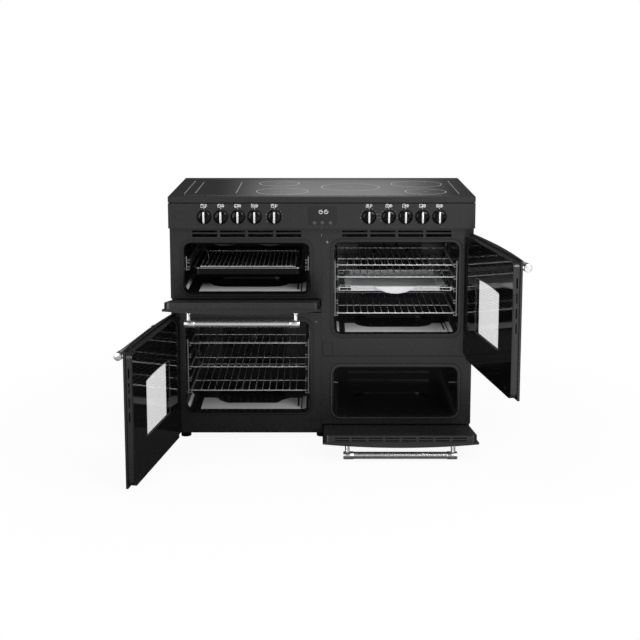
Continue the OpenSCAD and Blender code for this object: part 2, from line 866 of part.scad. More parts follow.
// A wire shelf on its two side rails; drop hangs its deck below the rails,
// set back from the front, and bar sets the front wire above them
module shelf(z, drop, bar) {
    y0 = shelf_front;
    y1 = shelf_front + shelf_d;
    yd = drop > 0 ? y0 + deck_back : y0;
    zd = z - drop;
    hang = drop > 0 ? hang_in : 0;
    x0 = rail_x[0] + hang;
    x1 = rail_x[1] - hang;
    pitch = (x1 - x0 - 2 * (deck_margin - hang)) / (deck_count - 1);
    for (x = rail_x) rod_y(x, y0, y1, z, shelf_r);
    for (y = [yd, y1]) {
        rod_x(x0 - shelf_r, x1 + shelf_r, y, zd, cross_r);
        if (drop > 0) for (x = [x0, x1]) rod_z(x, y, zd, z + cross_r, cross_r + 0.1);
    }
    if (drop > 0) for (y = [y0, yd, y1]) {
        rod_x(rail_x[0], x0, y, z, link_r);
        rod_x(x1, rail_x[1], y, z, link_r);
    }
    if (bar > 0) {
        rod_x(x0 - shelf_r, x1 + shelf_r, y0, z + bar, cross_r);
        for (x = [x0, x1]) rod_z(x, y0, z - cross_r, z + bar, cross_r + 0.1);
    }
    rod_x(x0, x1, y0 + shelf_d * mid_wire, zd, deck_r);
    for (i = [0 : deck_count - 1])
        rod_y(x0 + deck_margin - hang + i * pitch, yd, y1, zd + deck_up, deck_r);
}

module plain_shelf(c, n) {
    color("#c9cbcd") on_side(c[0]) shelf(level_z(c, n), 0, 0);
}

tray_level = level_z(tall, 2);
tray_z = tray_level - tray_drop + deck_up + deck_r;
tray_in = 8;

module tray_shelf() {
    lip_z = tray_z + tray_h - pan_t;
    color("#c9cbcd") shelf(tray_level, tray_drop, lip_z - 2 * fit - cross_r - tray_level);
}

module baking_tray() {
    x0 = oven_mid - tray_w / 2;
    x1 = oven_mid + tray_w / 2;
    y0 = shelf_front + tray_in;
    y1 = y0 + tray_l;
    top = tray_z + tray_h;
    lip = 156;
    lip_y = 14;
    sag = tray_h + 8;
    arc_r = (lip * lip / 4 + sag * sag) / (2 * sag);
    color("#b9bbbd") {
        difference() {
            block(x0, x1, y0, y1, tray_z, tray_z + tray_h);
            block(x0 + pan_t, x1 - pan_t, y0 + pan_t, y1 - pan_t, tray_z + pan_t, tray_z + tray_h + over);
        }
        block(x0 - tray_rim, x0, y0, y1, top - pan_t, top);
        block(x1, x1 + tray_rim, y0, y1, top - pan_t, top);
        slab_y(y0 - lip_y, y0 - lip_y + pan_t) intersection() {
            translate([oven_mid, top - sag + arc_r]) circle(r = arc_r, $fn = 200);
            translate([x0, top - 2 * sag]) square([tray_w, 2 * sag]);
        }
        block(oven_mid - lip / 2, oven_mid + lip / 2, y0 - lip_y, y0 + pan_t, top - pan_t, top);
    }
}

module grill_pan() {
    x0 = oven_mid - pan_w / 2;
    x1 = oven_mid + pan_w / 2;
    y0 = pan_front;
    y1 = pan_front + pan_l;
    z1 = pan_rail_z();
    color("#1a1a1b") on_side(-1) {
        difference() {
            slab_pan(x0, x1, y0, y1, z1 - pan_h, z1, pan_r);
            slab_pan(x0 + pan_t, x1 - pan_t, y0 + pan_t, y1 - pan_t, z1 - pan_h + pan_t,
                z1 + over, pan_r - pan_t);
        }
        block(rail_x[0] - shelf_r, x0 + pan_t / 2, y0 + pan_r, y1 - pan_r, z1 - pan_t, z1);
        block(x1 - pan_t / 2, rail_x[1] + shelf_r, y0 + pan_r, y1 - pan_r, z1 - pan_t, z1);
    }
}

module slab_pan(x0, x1, y0, y1, z0, z1, r) {
    translate([0, 0, z0]) linear_extrude(z1 - z0) round_rect(x0, y0, x1, y1, r);
}

module grill_trivet() {
    x0 = oven_mid - pan_w / 2 + trivet_side;
    x1 = oven_mid + pan_w / 2 - trivet_side;
    y0 = pan_front + trivet_end;
    y1 = pan_front + pan_l - trivet_end;
    z = pan_rail_z() + trivet_up;
    pitch = (x1 - x0) / (trivet_wires + 1);
    color("#b4b6b8") on_side(-1) {
        for (y = [y0, y1]) rod_x(x0 - trivet_r, x1 + trivet_r, y, z, trivet_r);
        for (x = [x0, x1]) {
            rod_y(x, y0, y1, z, trivet_r - 0.2);
            for (y = [y0 + trivet_leg_in, y1 - trivet_leg_in])
                rod_z(x, y, pan_rail_z() - pan_h + pan_t, z, trivet_r - 0.4);
        }
        for (i = [1 : trivet_wires]) rod_y(x0 + i * pitch, y0, y1, z + 1.8, trivet_deck_r);
    }
}

// ---- Hob

module hob_frame() {
    gx = half_w - glass_side;
    gy0 = hob_y0 + glass_front;
    gy1 = hob_y1 - glass_rear;
    ledge_z = hob_h - glass_t - ledge_t;
    a = skirt_in;
    b = skirt_in + skirt_t;
    color("#222223") difference() {
        union() {
            difference() {
                block(-half_w, half_w, hob_y0, hob_y1, trim_z, hob_h);
                block(-half_w + sheet, half_w - sheet, hob_y0 + sheet, hob_y1 - sheet,
                    trim_z - over, ledge_z);
            }
            difference() {
                block(-half_w + a, half_w - a, hob_y0 + a, back_y, deck_z, hob_h - glass_t);
                block(-half_w + b, half_w - b, hob_y0 + b, back_y - skirt_t, deck_z - over, ledge_z);
            }
        }
        block(-gx, gx, gy0, gy1, hob_h - glass_t, hob_h + over);
        block(-gx + ledge_w, gx - ledge_w, gy0 + ledge_w, gy1 - ledge_w, trim_z - over, hob_h + over);
    }
}

module hob_glass() {
    gx = half_w - glass_side - fit;
    color("#3a3b3d") block(-gx, gx, hob_y0 + glass_front + fit, hob_y1 - glass_rear - fit,
        hob_h - glass_t, hob_h);
}

module induction_coils() {
    lap = ledge_w * 0.6;
    top = hob_h - glass_t - ledge_t;
    x1 = half_w - glass_side - ledge_w + lap;
    y0 = hob_y0 + glass_front + ledge_w - lap;
    y1 = hob_y1 - glass_rear - ledge_w + lap;
    z0 = top - coil_tray_d;
    coil_z = z0 + coil_wall;
    color("#8f5a34") {
        difference() {
            block(-x1, x1, y0, y1, z0, top);
            block(-x1 + coil_wall, x1 - coil_wall, y0 + coil_wall, y1 - coil_wall, coil_z, top + over);
        }
        for (w = zones)
            translate([w[0], hob_y0 + w[1], coil_z]) difference() {
                cylinder(r = w[2] / 2, h = coil_t);
                translate([0, 0, coil_t / 2]) cylinder(r = w[2] / 2 - winding_w, h = coil_t);
                translate([0, 0, -over]) cylinder(r = coil_hole_r, h = coil_t + 2 * over);
            }
        for (w = zones)
            translate([w[0], hob_y0 + w[1], coil_z + coil_t / 2])
                for (r = [winding_r0 : winding_pitch : w[2] / 2 - 2 * winding_w]) difference() {
                    cylinder(r = r + winding_w, h = coil_t / 2);
                    translate([0, 0, -over]) cylinder(r = r, h = coil_t);
                }
        block(warm_zone[0], warm_zone[1], hob_y0 + warm_zone[2], hob_y0 + warm_zone[3], coil_z, coil_z + coil_t);
    }
}

// ---- Fascia

module control_fascia() {
    cut = fit;
    color("#2a2a2b") difference() {
        block(-half_w, half_w, hob_y0, 0, fascia_z, deck_z);
        block(-half_w + sheet, half_w - sheet, hob_y0 + sheet, over, fascia_z + sheet, deck_z - sheet);
        for (x = knob_x) rod_y(x, hob_y0 - over, hob_y0 + sheet + over, knob_z, spindle_r + 0.5);
        slab_y(hob_y0 - over, hob_y0 + sheet + over)
            round_rect(display_off - display_w / 2 - cut, display_z() - display_h / 2 - cut,
                display_off + display_w / 2 + cut, display_z() + display_h / 2 + cut, display_r);
    }
}

function display_z() = fascia_z + fascia_h / 2 + 0.5;

module display_glass() {
    x0 = display_off - display_w / 2;
    x1 = display_off + display_w / 2;
    z0 = display_z() - display_h / 2;
    z1 = display_z() + display_h / 2;
    y1 = hob_y0 + sheet;
    e = display_lip;
    color("#0a0a0b") {
        slab_y(hob_y0 - display_proud, y1) round_rect(x0, z0, x1, z1, display_r);
        slab_y(y1, y1 + display_lip_t) round_rect(x0 - e, z0 - e, x1 + e, z1 + e, display_r);
        slab_y(y1 + display_lip_t, y1 + display_lip_t + display_box_d)
            round_rect(x0 + e, z0 + e, x1 - e, z1 - e, display_r - 1);
    }
}

module knob_switches() {
    y0 = hob_y0 + sheet;
    m = switch_w / 2;
    color("#7a6f5a") for (x = knob_x) difference() {
        union() {
            rod_y(x, y0, y0 + neck_l, knob_z, neck_r);
            block(x - m, x + m, y0 + neck_l, y0 + switch_d, knob_z - m, knob_z + m);
        }
        rod_y(x, y0 - over, y0 + switch_d - spindle_end + 2, knob_z, spindle_r + run);
    }
}

module knob(i) {
    x = knob_x[i];
    y1 = hob_y0 - knob_gap;
    y0 = y1 - knob_base_t;
    r = knob_d / 2;
    color("#151516") {
        rod_y(x, y1 - knob_rim_t, y1, knob_z, r);
        rod_y(x, y0, y1 - knob_rim_t, knob_z, r - knob_step);
        rod_y(x, y1, hob_y0 + sheet + switch_d - spindle_end, knob_z, spindle_r);
        slab_y(y0 - grip_t, y0 + over) translate([x, knob_z]) rotate(90) stadium(knob_d - grip_short, grip_w);
    }
}

// ---- Doors, drawn closed here and turned open by swing()

module drop_swing(c) {
    z = door_lo(c) + drop_pin_up;
    translate([0, -drop_pin_out, z]) rotate([drop_open, 0, 0]) translate([0, drop_pin_out, -z]) children();
}

module side_swing() {
    translate([side_pin_x, -side_pin_out, 0]) rotate([0, 0, side_open])
        translate([-side_pin_x, side_pin_out, 0]) children();
}

module bow_2d(inset, back) {
    half = (door_x1 - door_x0) / 2;
    r = (half * half + bow * bow) / (2 * bow);
    intersection() {
        translate([door_mid, door_out - bow + r]) circle(r = r - inset, $fn = bow_fn);
        translate([door_x0 + inset, door_out - bow - over])
            square([door_x1 - door_x0 - 2 * inset, back - door_out + bow + over]);
    }
}

module window_2d(c, m) {
    half = window_w / 2 + m;
    z0 = door_lo(c) + window_up - m;
    z1 = z0 + window_h + window_rise + 2 * m;
    r = (half * half + window_rise * window_rise) / (2 * window_rise);
    intersection() {
        translate([door_mid - half, z0]) square([2 * half, z1 - z0]);
        translate([door_mid, z1 - r]) circle(r = r, $fn = bow_fn);
    }
}

// Bowed outer skin: a shallow pan with an inward flange that carries the frame
module door_skin(c, heel, window) {
    z0 = door_lo(c);
    z1 = door_hi(c);
    t = door_sheet;
    flange = frame_inset + 12;
    difference() {
        skin_solid(z0, z1, 0, heel);
        difference() {
            skin_solid(z0 + t, z1 - t, t, heel);
            slab_y(skin_back - t, skin_back + over) difference() {
                translate([door_x0, z0]) square([door_x1 - door_x0, z1 - z0]);
                translate([door_x0 + flange, z0 + flange])
                    square([door_x1 - door_x0 - 2 * flange, z1 - z0 - 2 * flange]);
            }
        }
        slab_y(skin_back - t - over, skin_back + over)
            translate([door_x0 + flange, z0 + flange])
                square([door_x1 - door_x0 - 2 * flange, z1 - z0 - 2 * flange]);
        if (window) slab_y(door_out - bow - over, door_out + over) window_2d(c, 0);
        for (x = post_x) rod_y(x, door_out - bow - over, door_out, z1 - bar_down, post_d / 2);
    }
}

module skin_solid(z0, z1, inset, heel) {
    depth = heel_cut - inset * 0.5;
    difference() {
        translate([0, 0, z0]) linear_extrude(z1 - z0) bow_2d(inset, skin_back);
        if (heel)
            translate([door_x0 - over, door_out - bow + inset, z0]) rotate([45, 0, 0])
                block(0, door_x1 - door_x0 + 2 * over, -2 * heel_cut, depth * sqrt(2) / 2,
                    -2 * heel_cut, 2 * heel_cut);
    }
}

module frame_2d(c, inset) {
    round_rect(frame_x0 + inset, door_lo(c) + frame_inset + inset,
        frame_x1 - inset, door_hi(c) - frame_inset - inset, frame_r - inset);
}

// Two rows of cooling slots through the top wall of a drop-down door
module top_slots(c) {
    for (row = top_slot_rows)
        for (i = [-3.5 : 1 : 3.5])
            translate([door_mid + i * top_slot_pitch, door_in - row, door_hi(c) - frame_inset])
                block(-edge_slot_l / 2, edge_slot_l / 2, -top_slot_w / 2, top_slot_w / 2,
                    -door_sheet - over, over);
}

module drop_door_pan(c, slots) {
    t = door_sheet;
    pin_z = door_lo(c) + drop_pin_up;
    slot_w = arm_t / 2 + 1;
    difference() {
        union() {
            difference() {
                slab_y(skin_back, door_in) frame_2d(c, 0);
                slab_y(skin_back - over, door_in - t) frame_2d(c, t);
                if (slots) top_slots(c);
            }
            for (x = drop_arm_x)
                block(x - block_w / 2, x + block_w / 2, skin_back, door_in - t + over / 2,
                    door_lo(c) + frame_inset + t, pin_z + 20);
        }
        for (x = drop_arm_x)
            block(x - slot_w, x + slot_w, -drop_pin_out - drop_arm_h - 1.5, door_in + over,
                door_lo(c), pin_z + drop_arm_h + 1.5);
    }
    for (x = drop_arm_x) rod_x(x - block_w / 2 + 2, x + block_w / 2 - 2, -drop_pin_out, pin_z, drop_pin_r);
}

module hinge_notch(c) {
    for (z = [door_lo(c) - over, door_hi(c) - notch_h - frame_inset])
        block(door_x1 - notch_w, door_x1 + over, skin_back - over, door_in + over,
            z, z + notch_h + frame_inset + over);
}

// Four cooling slots through the free edge of a side-hinged door
module edge_slots(c) {
    mid_z = door_lo(c) + (door_hi(c) - door_lo(c)) * 0.68;
    y = (door_in - door_glass + skin_back) / 2;
    for (i = [-1.5 : 1 : 1.5])
        translate([frame_x0, y, mid_z + i * edge_slot_pitch])
            block(-over, door_sheet + over, -edge_slot_w / 2, edge_slot_w / 2, -side_slot_l / 2, side_slot_l / 2);
}

// Plane of the outer window pane's back, just clear of the bowed skin
pane_back = door_out + 3;

module side_door_frame(c) {
    t = door_sheet;
    y1 = door_in - door_glass;
    m = window_lap;
    pin_out = 3;
    difference() {
        union() {
            difference() {
                slab_y(skin_back, y1) frame_2d(c, 0);
                slab_y(skin_back - over, y1 - t) frame_2d(c, t);
                edge_slots(c);
            }
            slab_y(pane_back, y1 - t + over / 2) window_2d(c, m);
            for (z = [door_lo(c) + notch_h + frame_inset, door_hi(c) - notch_h - frame_inset - pin_block_h])
                block(door_x1 - notch_w, frame_x1 - t / 2, skin_back, y1 - t / 2, z, z + pin_block_h);
        }
        slab_y(pane_back - over, y1 + over) window_2d(c, m - t);
        hinge_notch(c);
    }
    rod_z(side_pin_x, -side_pin_out, door_lo(c) + frame_inset + pin_out, door_lo(c) + frame_inset + notch_h + 6,
        side_pin_r);
    rod_z(side_pin_x, -side_pin_out, door_hi(c) - frame_inset - notch_h - 6, door_hi(c) - frame_inset - pin_out,
        side_pin_r);
}

module side_door_glass(c) {
    difference() {
        slab_y(door_in - door_glass, door_in) frame_2d(c, 0);
        hinge_notch(c);
    }
    slab_y(pane_back - door_glass, pane_back) window_2d(c, window_lap);
}

module door_handle(c) {
    z = door_hi(c) - bar_down;
    x0 = door_mid - bar_l / 2;
    x1 = door_mid + bar_l / 2;
    rod_x(x0, x1, -bar_out, z, bar_d / 2);
    for (x = [x0, x1 - collar_l]) rod_x(x, x + collar_l, -bar_out, z, collar_d / 2);
    for (x = post_x) rod_y(x, -bar_out, door_out - 2, z, post_d / 2);
}

steel = "#1d1d1e";
enamel = "#101011";
chrome = "#d9dadb";

module grill_door_skin() {
    color(steel) on_side(-1) drop_swing(grill) door_skin(grill, true, false);
}

module grill_door_pan() {
    color(enamel) on_side(-1) drop_swing(grill) drop_door_pan(grill, false);
}

module grill_door_handle() {
    color(chrome) on_side(-1) drop_swing(grill) door_handle(grill);
}

module slow_door_skin() {
    color(steel) drop_swing(slow) door_skin(slow, true, false);
}

module slow_door_pan() {
    color(enamel) drop_swing(slow) drop_door_pan(slow, true);
}

module slow_door_handle() {
    color(chrome) drop_swing(slow) door_handle(slow);
}

module main_door_skin() {
    color(steel) on_side(-1) side_swing() door_skin(main, false, true);
}

module main_door_frame() {
    color(enamel) on_side(-1) side_swing() side_door_frame(main);
}

module main_door_glass() {
    color("#18191b") on_side(-1) side_swing() side_door_glass(main);
}

module main_door_handle() {
    color(chrome) on_side(-1) side_swing() door_handle(main);
}

module tall_door_skin() {
    color(steel) side_swing() door_skin(tall, false, true);
}

module tall_door_frame() {
    color(enamel) side_swing() side_door_frame(tall);
}

module tall_door_glass() {
    color("#18191b") side_swing() side_door_glass(tall);
}

module tall_door_handle() {
    color(chrome) side_swing() door_handle(tall);
}

// ---- Hinge arms and catches on the cabinet

module side_arms(c) {
    mid = frame_inset + notch_h / 2 - 0.5;
    for (z = [door_lo(c) + mid - arm_t / 2, door_hi(c) - mid - arm_t / 2])
        translate([0, 0, z]) difference() {
            union() {
                translate([side_pin_x, -side_pin_out, 0]) cylinder(r = arm_r, h = arm_t);
                block(side_pin_x - arm_r, side_pin_x + 2, -side_pin_out, 0, 0, arm_t);
            }
            translate([side_pin_x, -side_pin_out, -over]) cylinder(r = side_pin_r + run, h = arm_t + 2 * over);
        }
}

module drop_arms(c) {
    z = door_lo(c) + drop_pin_up;
    for (x = drop_arm_x) difference() {
        union() {
            rod_x(x - arm_t / 2, x + arm_t / 2, -drop_pin_out, z, drop_arm_h);
            block(x - arm_t / 2, x + arm_t / 2, -drop_pin_out, pocket_d, z - drop_arm_h, z + 2);
        }
        rod_x(x - arm_t, x + arm_t, -drop_pin_out, z, drop_pin_r + run);
    }
}

module hinge_brackets() {
    color("#9a9c9e") {
        on_side(-1) drop_arms(grill);
        drop_arms(slow);
        on_side(-1) side_arms(main);
        side_arms(tall);
        for (c = fan_ovens) on_side(c[0]) door_catch(c);
    }
}

module door_catch(c) {
    x = (door_x0 + mouth_x0) / 2 + 1;
    z = mouth_hi(c) - 10;
    rod_y(x, -1, 0, z, catch_r);
    rod_y(x, -back_gap + 0.5, -1, z, catch_r - 2);
}

module cable_inlet() {
    gland_y1 = back_y + back_overhang;
    gland_y0 = gland_y1 - gland_l;
    box_z = inlet_up + cable_r + flange_w + terminal_gap;
    color("#1c1c1d") {
        difference() {
            union() {
                rod_y(inlet_x, gland_y0, gland_y1, inlet_up, cable_r + gland_wall);
                rod_y(inlet_x, back_y, back_y + 3, inlet_up, cable_r + flange_w);
            }
            rod_y(inlet_x, gland_y0 - over, gland_y1 + over, inlet_up, cable_r);
        }
        block(inlet_x - terminal_w / 2, inlet_x + terminal_w / 2, back_y - sheet - terminal_d, back_y - sheet,
            box_z, box_z + terminal_h);
    }
}

side_panels();
back_panel();
base_tray();
left_front();
right_front();
grill_liner();
main_liner();
tall_liner();
slow_liner();
door_seals();
control_fascia();
display_glass();
hob_frame();
hob_glass();
induction_coils();
shelf_runners();
heating_elements();
fan_covers();
fan_motors();
knob_switches();
adjustable_feet();
hinge_brackets();
cable_inlet();
oven_lamps();
grill_door_skin();
grill_door_pan();
grill_door_handle();
slow_door_skin();
slow_door_pan();
slow_door_handle();
main_door_skin();
main_door_frame();
main_door_glass();
main_door_handle();
tall_door_skin();
tall_door_frame();
tall_door_glass();
tall_door_handle();
knob(0);  // knob_1
knob(1);  // knob_2
knob(2);  // knob_3
knob(3);  // knob_4
knob(4);  // knob_5
knob(5);  // knob_6
knob(6);  // knob_7
knob(7);  // knob_8
knob(8);  // knob_9
knob(9);  // knob_10
grill_pan();
grill_trivet();
plain_shelf(main, 0);  // main_shelf_low
plain_shelf(main, 2);  // main_shelf_mid
plain_shelf(main, 4);  // main_shelf_high
plain_shelf(tall, 0);  // tall_shelf_low
tray_shelf();
baking_tray();
plain_shelf(tall, 3);  // tall_shelf_mid
plain_shelf(tall, 4);  // tall_shelf_high
on_side(-1) fan_wheel(main);  // main_fan
fan_wheel(tall);  // tall_fan
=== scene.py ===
import bpy
import bmesh
import json
import math
from mathutils import Matrix, Vector


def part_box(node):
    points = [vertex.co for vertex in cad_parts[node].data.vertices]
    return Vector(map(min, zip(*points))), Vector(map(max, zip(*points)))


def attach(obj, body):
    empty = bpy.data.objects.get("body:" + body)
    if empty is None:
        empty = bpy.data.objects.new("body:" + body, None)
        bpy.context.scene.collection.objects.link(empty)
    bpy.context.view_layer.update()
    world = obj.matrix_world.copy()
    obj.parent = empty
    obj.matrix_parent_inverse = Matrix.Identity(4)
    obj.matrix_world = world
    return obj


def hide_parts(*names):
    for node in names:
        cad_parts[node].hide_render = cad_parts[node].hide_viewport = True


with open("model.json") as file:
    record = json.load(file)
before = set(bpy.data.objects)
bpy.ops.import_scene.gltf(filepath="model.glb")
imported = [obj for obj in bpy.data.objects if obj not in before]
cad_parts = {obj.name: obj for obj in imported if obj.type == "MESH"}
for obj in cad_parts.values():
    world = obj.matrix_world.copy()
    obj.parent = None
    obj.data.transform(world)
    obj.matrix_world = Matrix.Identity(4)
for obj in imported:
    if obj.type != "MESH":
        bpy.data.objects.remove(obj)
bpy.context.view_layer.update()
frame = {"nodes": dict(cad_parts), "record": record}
NODES = frame["nodes"]

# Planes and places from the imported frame, in metres like all sizes here
HOB_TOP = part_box("hob_frame")[1][2]
FASCIA_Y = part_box("control_fascia")[0][1]
HOB_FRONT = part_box("hob_frame")[0][1]
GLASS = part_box("hob_glass")
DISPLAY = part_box("display_glass")
JOINTS = {j["name"]: j for j in frame["record"]["behaviour"]["joints"]}

# Doors as they close: side, lower edge, upper edge
DOORS = {
    "grill_door": (-1, 0.487, 0.772),
    "main_door": (-1, 0.013, 0.476),
    "tall_door": (1, 0.310, 0.772),
    "slow_door": (1, 0.013, 0.306),
}
# Closed doors: distance of their middle from the cooker's, half their width, their
# inner and outer planes, how far the skin bows out, and how far the frame stands
# back from its edge
DOOR_MID = 0.276
DOOR_HALF = 0.273
DOOR_IN = -0.004
DOOR_OUT = -0.034
BOW = 0.012
FRAME_INSET = 0.005

# Ovens: side, floor, roof; then their inner and outer walls and their back wall
OVENS = {
    "grill": (-1, 0.552, 0.738),
    "main": (-1, 0.105, 0.447),
    "tall": (1, 0.399, 0.741),
    "slow": (1, 0.089, 0.275),
}
OVEN_X = (0.044, 0.499)
OVEN_BACK = 0.460


# -------------------- materials

def new_material(name):
    m = bpy.data.materials.new(name)
    m.use_nodes = True
    tree = m.node_tree
    return m, tree, tree.nodes["Principled BSDF"]


def link(tree, a, b):
    tree.links.new(a, b)


def settings(node, values):
    """Puts numbers and colours on a node's own sockets."""
    for key, v in values.items():
        node.inputs[key].default_value = v


def calc(tree, op, *values):
    """A sum of numbers and other nodes' outputs."""
    n = tree.nodes.new("ShaderNodeMath")
    n.operation = op
    for socket, v in zip(n.inputs, values):
        if isinstance(v, (int, float)):
            socket.default_value = v
        else:
            link(tree, v, socket)
    return n.outputs[0]


def times(tree, *values):
    """The product of two or more values."""
    out = values[0]
    for v in values[1:]:
        out = calc(tree, "MULTIPLY", out, v)
    return out


def axes(tree, space):
    """X, Y and Z of a texture coordinate."""
    where = tree.nodes.new("ShaderNodeTexCoord")
    split = tree.nodes.new("ShaderNodeSeparateXYZ")
    link(tree, where.outputs[space], split.inputs[0])
    return [split.outputs[k] for k in "XYZ"]


def mixed_shader(tree, factor, a, b):
    """Shader a where factor is 0, b where it is 1."""
    mix = tree.nodes.new("ShaderNodeMixShader")
    for value, socket in zip((factor, a, b), mix.inputs):
        link(tree, value, socket)
    return mix.outputs[0]


def noise(tree, scale, detail=3.0, stretch=(1, 1, 1)):
    where = tree.nodes.new("ShaderNodeTexCoord")
    mapping = tree.nodes.new("ShaderNodeMapping")
    mapping.inputs["Scale"].default_value = stretch
    link(tree, where.outputs["Object"], mapping.inputs["Vector"])
    n = tree.nodes.new("ShaderNodeTexNoise")
    settings(n, {"Scale": scale, "Detail": detail})
    link(tree, mapping.outputs["Vector"], n.inputs["Vector"])
    return n.outputs["Fac"]


def remap(tree, value, from_lo, from_hi, to_lo, to_hi, kind="SMOOTHSTEP"):
    n = tree.nodes.new("ShaderNodeMapRange")
    n.interpolation_type = kind
    link(tree, value, n.inputs["Value"])
    settings(n, {"From Min": from_lo, "From Max": from_hi, "To Min": to_lo, "To Max": to_hi})
    return n.outputs["Result"]


# How much a finish's colour varies, and the grain and depth of its bump
TINT = 0.12
BUMP_SCALE = 900.0
BUMP_DEPTH = 0.0004


def mixed_color(tree, factor, socket):
    """A mix of two colours that is linked to a socket."""
    mix = tree.nodes.new("ShaderNodeMix")
    mix.data_type = "RGBA"
    link(tree, factor, mix.inputs["Factor"])
    link(tree, mix.outputs["Result"], socket)
    return mix


def surface(name, color, rough, metal=0.0, vary=0.05, grain=90.0, bump=0.0, spec=0.5,
            stretch=(1, 1, 1)):
    """A procedural finish: mottled colour, uneven roughness and a fine bump."""
    m, tree, bsdf = new_material(name)
    settings(bsdf, {"Metallic": metal, "Specular IOR Level": spec})
    n = noise(tree, grain, 4.0, stretch)
    uneven = remap(tree, n, 0.3, 0.7, max(rough - vary, 0.01), rough + vary, "LINEAR")
    link(tree, uneven, bsdf.inputs["Roughness"])
    mix = mixed_color(tree, noise(tree, grain * 0.21, 2.0, stretch), bsdf.inputs["Base Color"])
    settings(mix, {"A": [c * (1 - TINT) for c in color] + [1],
                   "B": [min(c * (1 + TINT), 1) for c in color] + [1]})
    if bump:
        b = tree.nodes.new("ShaderNodeBump")
        settings(b, {"Strength": bump, "Distance": BUMP_DEPTH})
        link(tree, noise(tree, BUMP_SCALE, 2.0, stretch), b.inputs["Height"])
        link(tree, b.outputs["Normal"], bsdf.inputs["Normal"])
    return m


def band(tree, value, lo, hi, soft):
    """1 between lo and hi, falling to 0 over soft on either side."""
    return times(tree, remap(tree, value, lo - soft, lo, 0.0, 1.0),
                 remap(tree, value, hi, hi + soft, 1.0, 0.0))


def lightened(m, mask, shade):
    """Mixes a grey over a material's own colour where mask(tree, x, y, z) is 1."""
    tree = m.node_tree
    base = tree.nodes["Principled BSDF"].inputs["Base Color"]
    own = base.links[0].from_socket
    mix = mixed_color(tree, mask(tree, *axes(tree, "Object")), base)
    link(tree, own, mix.inputs["A"])
    settings(mix, {"B": (shade, shade, shade, 1)})
    return m


# The painted light on the front of each oven's floor, a lit zone, in X: its ends, the
# painted highlight strips beside it and the painted shadow gap near its inner end; then
# how far back it reaches in the middle and towards its ends
PAINTED_FLOOR_LIGHT = {
    "grill": ((-0.450, -0.0775), (-0.497, -0.4905), (-0.072, -0.059),
              (-0.0905, -0.085), (0.165, 0.165)),
    "main": ((-0.450, -0.0775), (-0.497, -0.4905), (-0.072, -0.059),
             (-0.0905, -0.085), (0.112, 0.165)),
    "tall": ((0.087, 0.4655), (0.057, 0.065), (0.470, 0.483),
             (0.4525, 0.458), (0.165, 0.165)),
}
# Grey of the painted light on the oven floors, and how soft its sides are
PAINTED_FLOOR_LIGHT_SHADE = 0.66
PAINTED_FLOOR_LIGHT_SOFT = 0.0012
# How far from the zone's middle its reach changes, its front edge, how soft its rear
# edge is, and how far back the painted shadow gap starts
PAINTED_FLOOR_LIGHT_SPREAD = (0.085, 0.150)
PAINTED_FLOOR_LIGHT_FRONT = (0.030, 0.034)
PAINTED_FLOOR_LIGHT_REAR = 0.015
PAINTED_SHADOW_GAP_START = (0.062, 0.072)
# Heights from the floor that count as floor and as its pressed dish's bottom, and
# the dish's share of the lightness
FLAT = (-0.0003, 0.0008)
DISH = (-0.0050, -0.0034)
DISH_SHARE = 0.92
# The painted highlight strips at the walls' feet: depth from front to back, and height
FOOT_HIGHLIGHT_Y = (0.040, 0.185)
FOOT_HIGHLIGHT_Z = (0.030, 0.034)


def painted_oven_floor_light(oven):
    """Painted light on an oven's enamel: a lit zone on the front of its floor, painted highlights
    at the foot of its walls.
    """
    floor = OVENS[oven][1]
    zone, left, right, gap, reach = PAINTED_FLOOR_LIGHT[oven]

    # Painted light: the lit front of the floor less a painted shadow gap, plus painted highlight
    # strips at the walls' feet
    def mask(tree, x, y, z):
        off = calc(tree, "ABSOLUTE", calc(tree, "SUBTRACT", x, (zone[0] + zone[1]) / 2))
        far = remap(tree, off, *PAINTED_FLOOR_LIGHT_SPREAD, *reach)
        flat = band(tree, z, floor + FLAT[0], floor + FLAT[1], 0.0002)
        if reach[0] < reach[1]:
            dish = band(tree, z, floor + DISH[0], floor + DISH[1], 0.0002)
            flat = calc(tree, "MAXIMUM", flat, times(tree, dish, DISH_SHARE))
        past = calc(tree, "SUBTRACT", y, far)
        deep = times(tree, remap(tree, y, *PAINTED_FLOOR_LIGHT_FRONT, 0.0, 1.0),
                     remap(tree, past, 0.0, PAINTED_FLOOR_LIGHT_REAR, 1.0, 0.0))
        painted_shadow_gap = times(tree, band(tree, x, *gap, 0.0010), remap(tree, y, *PAINTED_SHADOW_GAP_START, 0.0, 1.0))
        wide = times(tree, band(tree, x, *zone, PAINTED_FLOOR_LIGHT_SOFT), calc(tree, "SUBTRACT", 1.0, painted_shadow_gap))
        foot = times(tree, remap(tree, z, floor + FOOT_HIGHLIGHT_Z[0], floor + FOOT_HIGHLIGHT_Z[1], 1.0, 0.0),
                     band(tree, y, *FOOT_HIGHLIGHT_Y, 0.012))
        strips = calc(tree, "MAXIMUM", band(tree, x, *left, PAINTED_FLOOR_LIGHT_SOFT),
                           band(tree, x, *right, PAINTED_FLOOR_LIGHT_SOFT))
        return calc(tree, "MAXIMUM", times(tree, flat, deep, wide), times(tree, foot, strips))

    return mask


# The slow oven's back wall: heights above the floor of its painted highlights, how far
# back they are, and their ends
SLOW_WALL_HIGHLIGHTS = ((0.0005, 0.0065), (0.034, 0.042))
SLOW_WALL_HIGHLIGHTS_Y = (0.425, 0.435)
SLOW_WALL_HIGHLIGHTS_X = (0.115, 0.430)
SLOW_WALL_HIGHLIGHT_SHADE = 0.10
# The slow oven's seal, lightened as a painted highlight, is the one to the right of this X and
# below this Z
SLOW_SEAL_X = (0.0, 0.010)
SLOW_SEAL_Z = (0.300, 0.310)
SLOW_SEAL_HIGHLIGHT_SHADE = 0.034


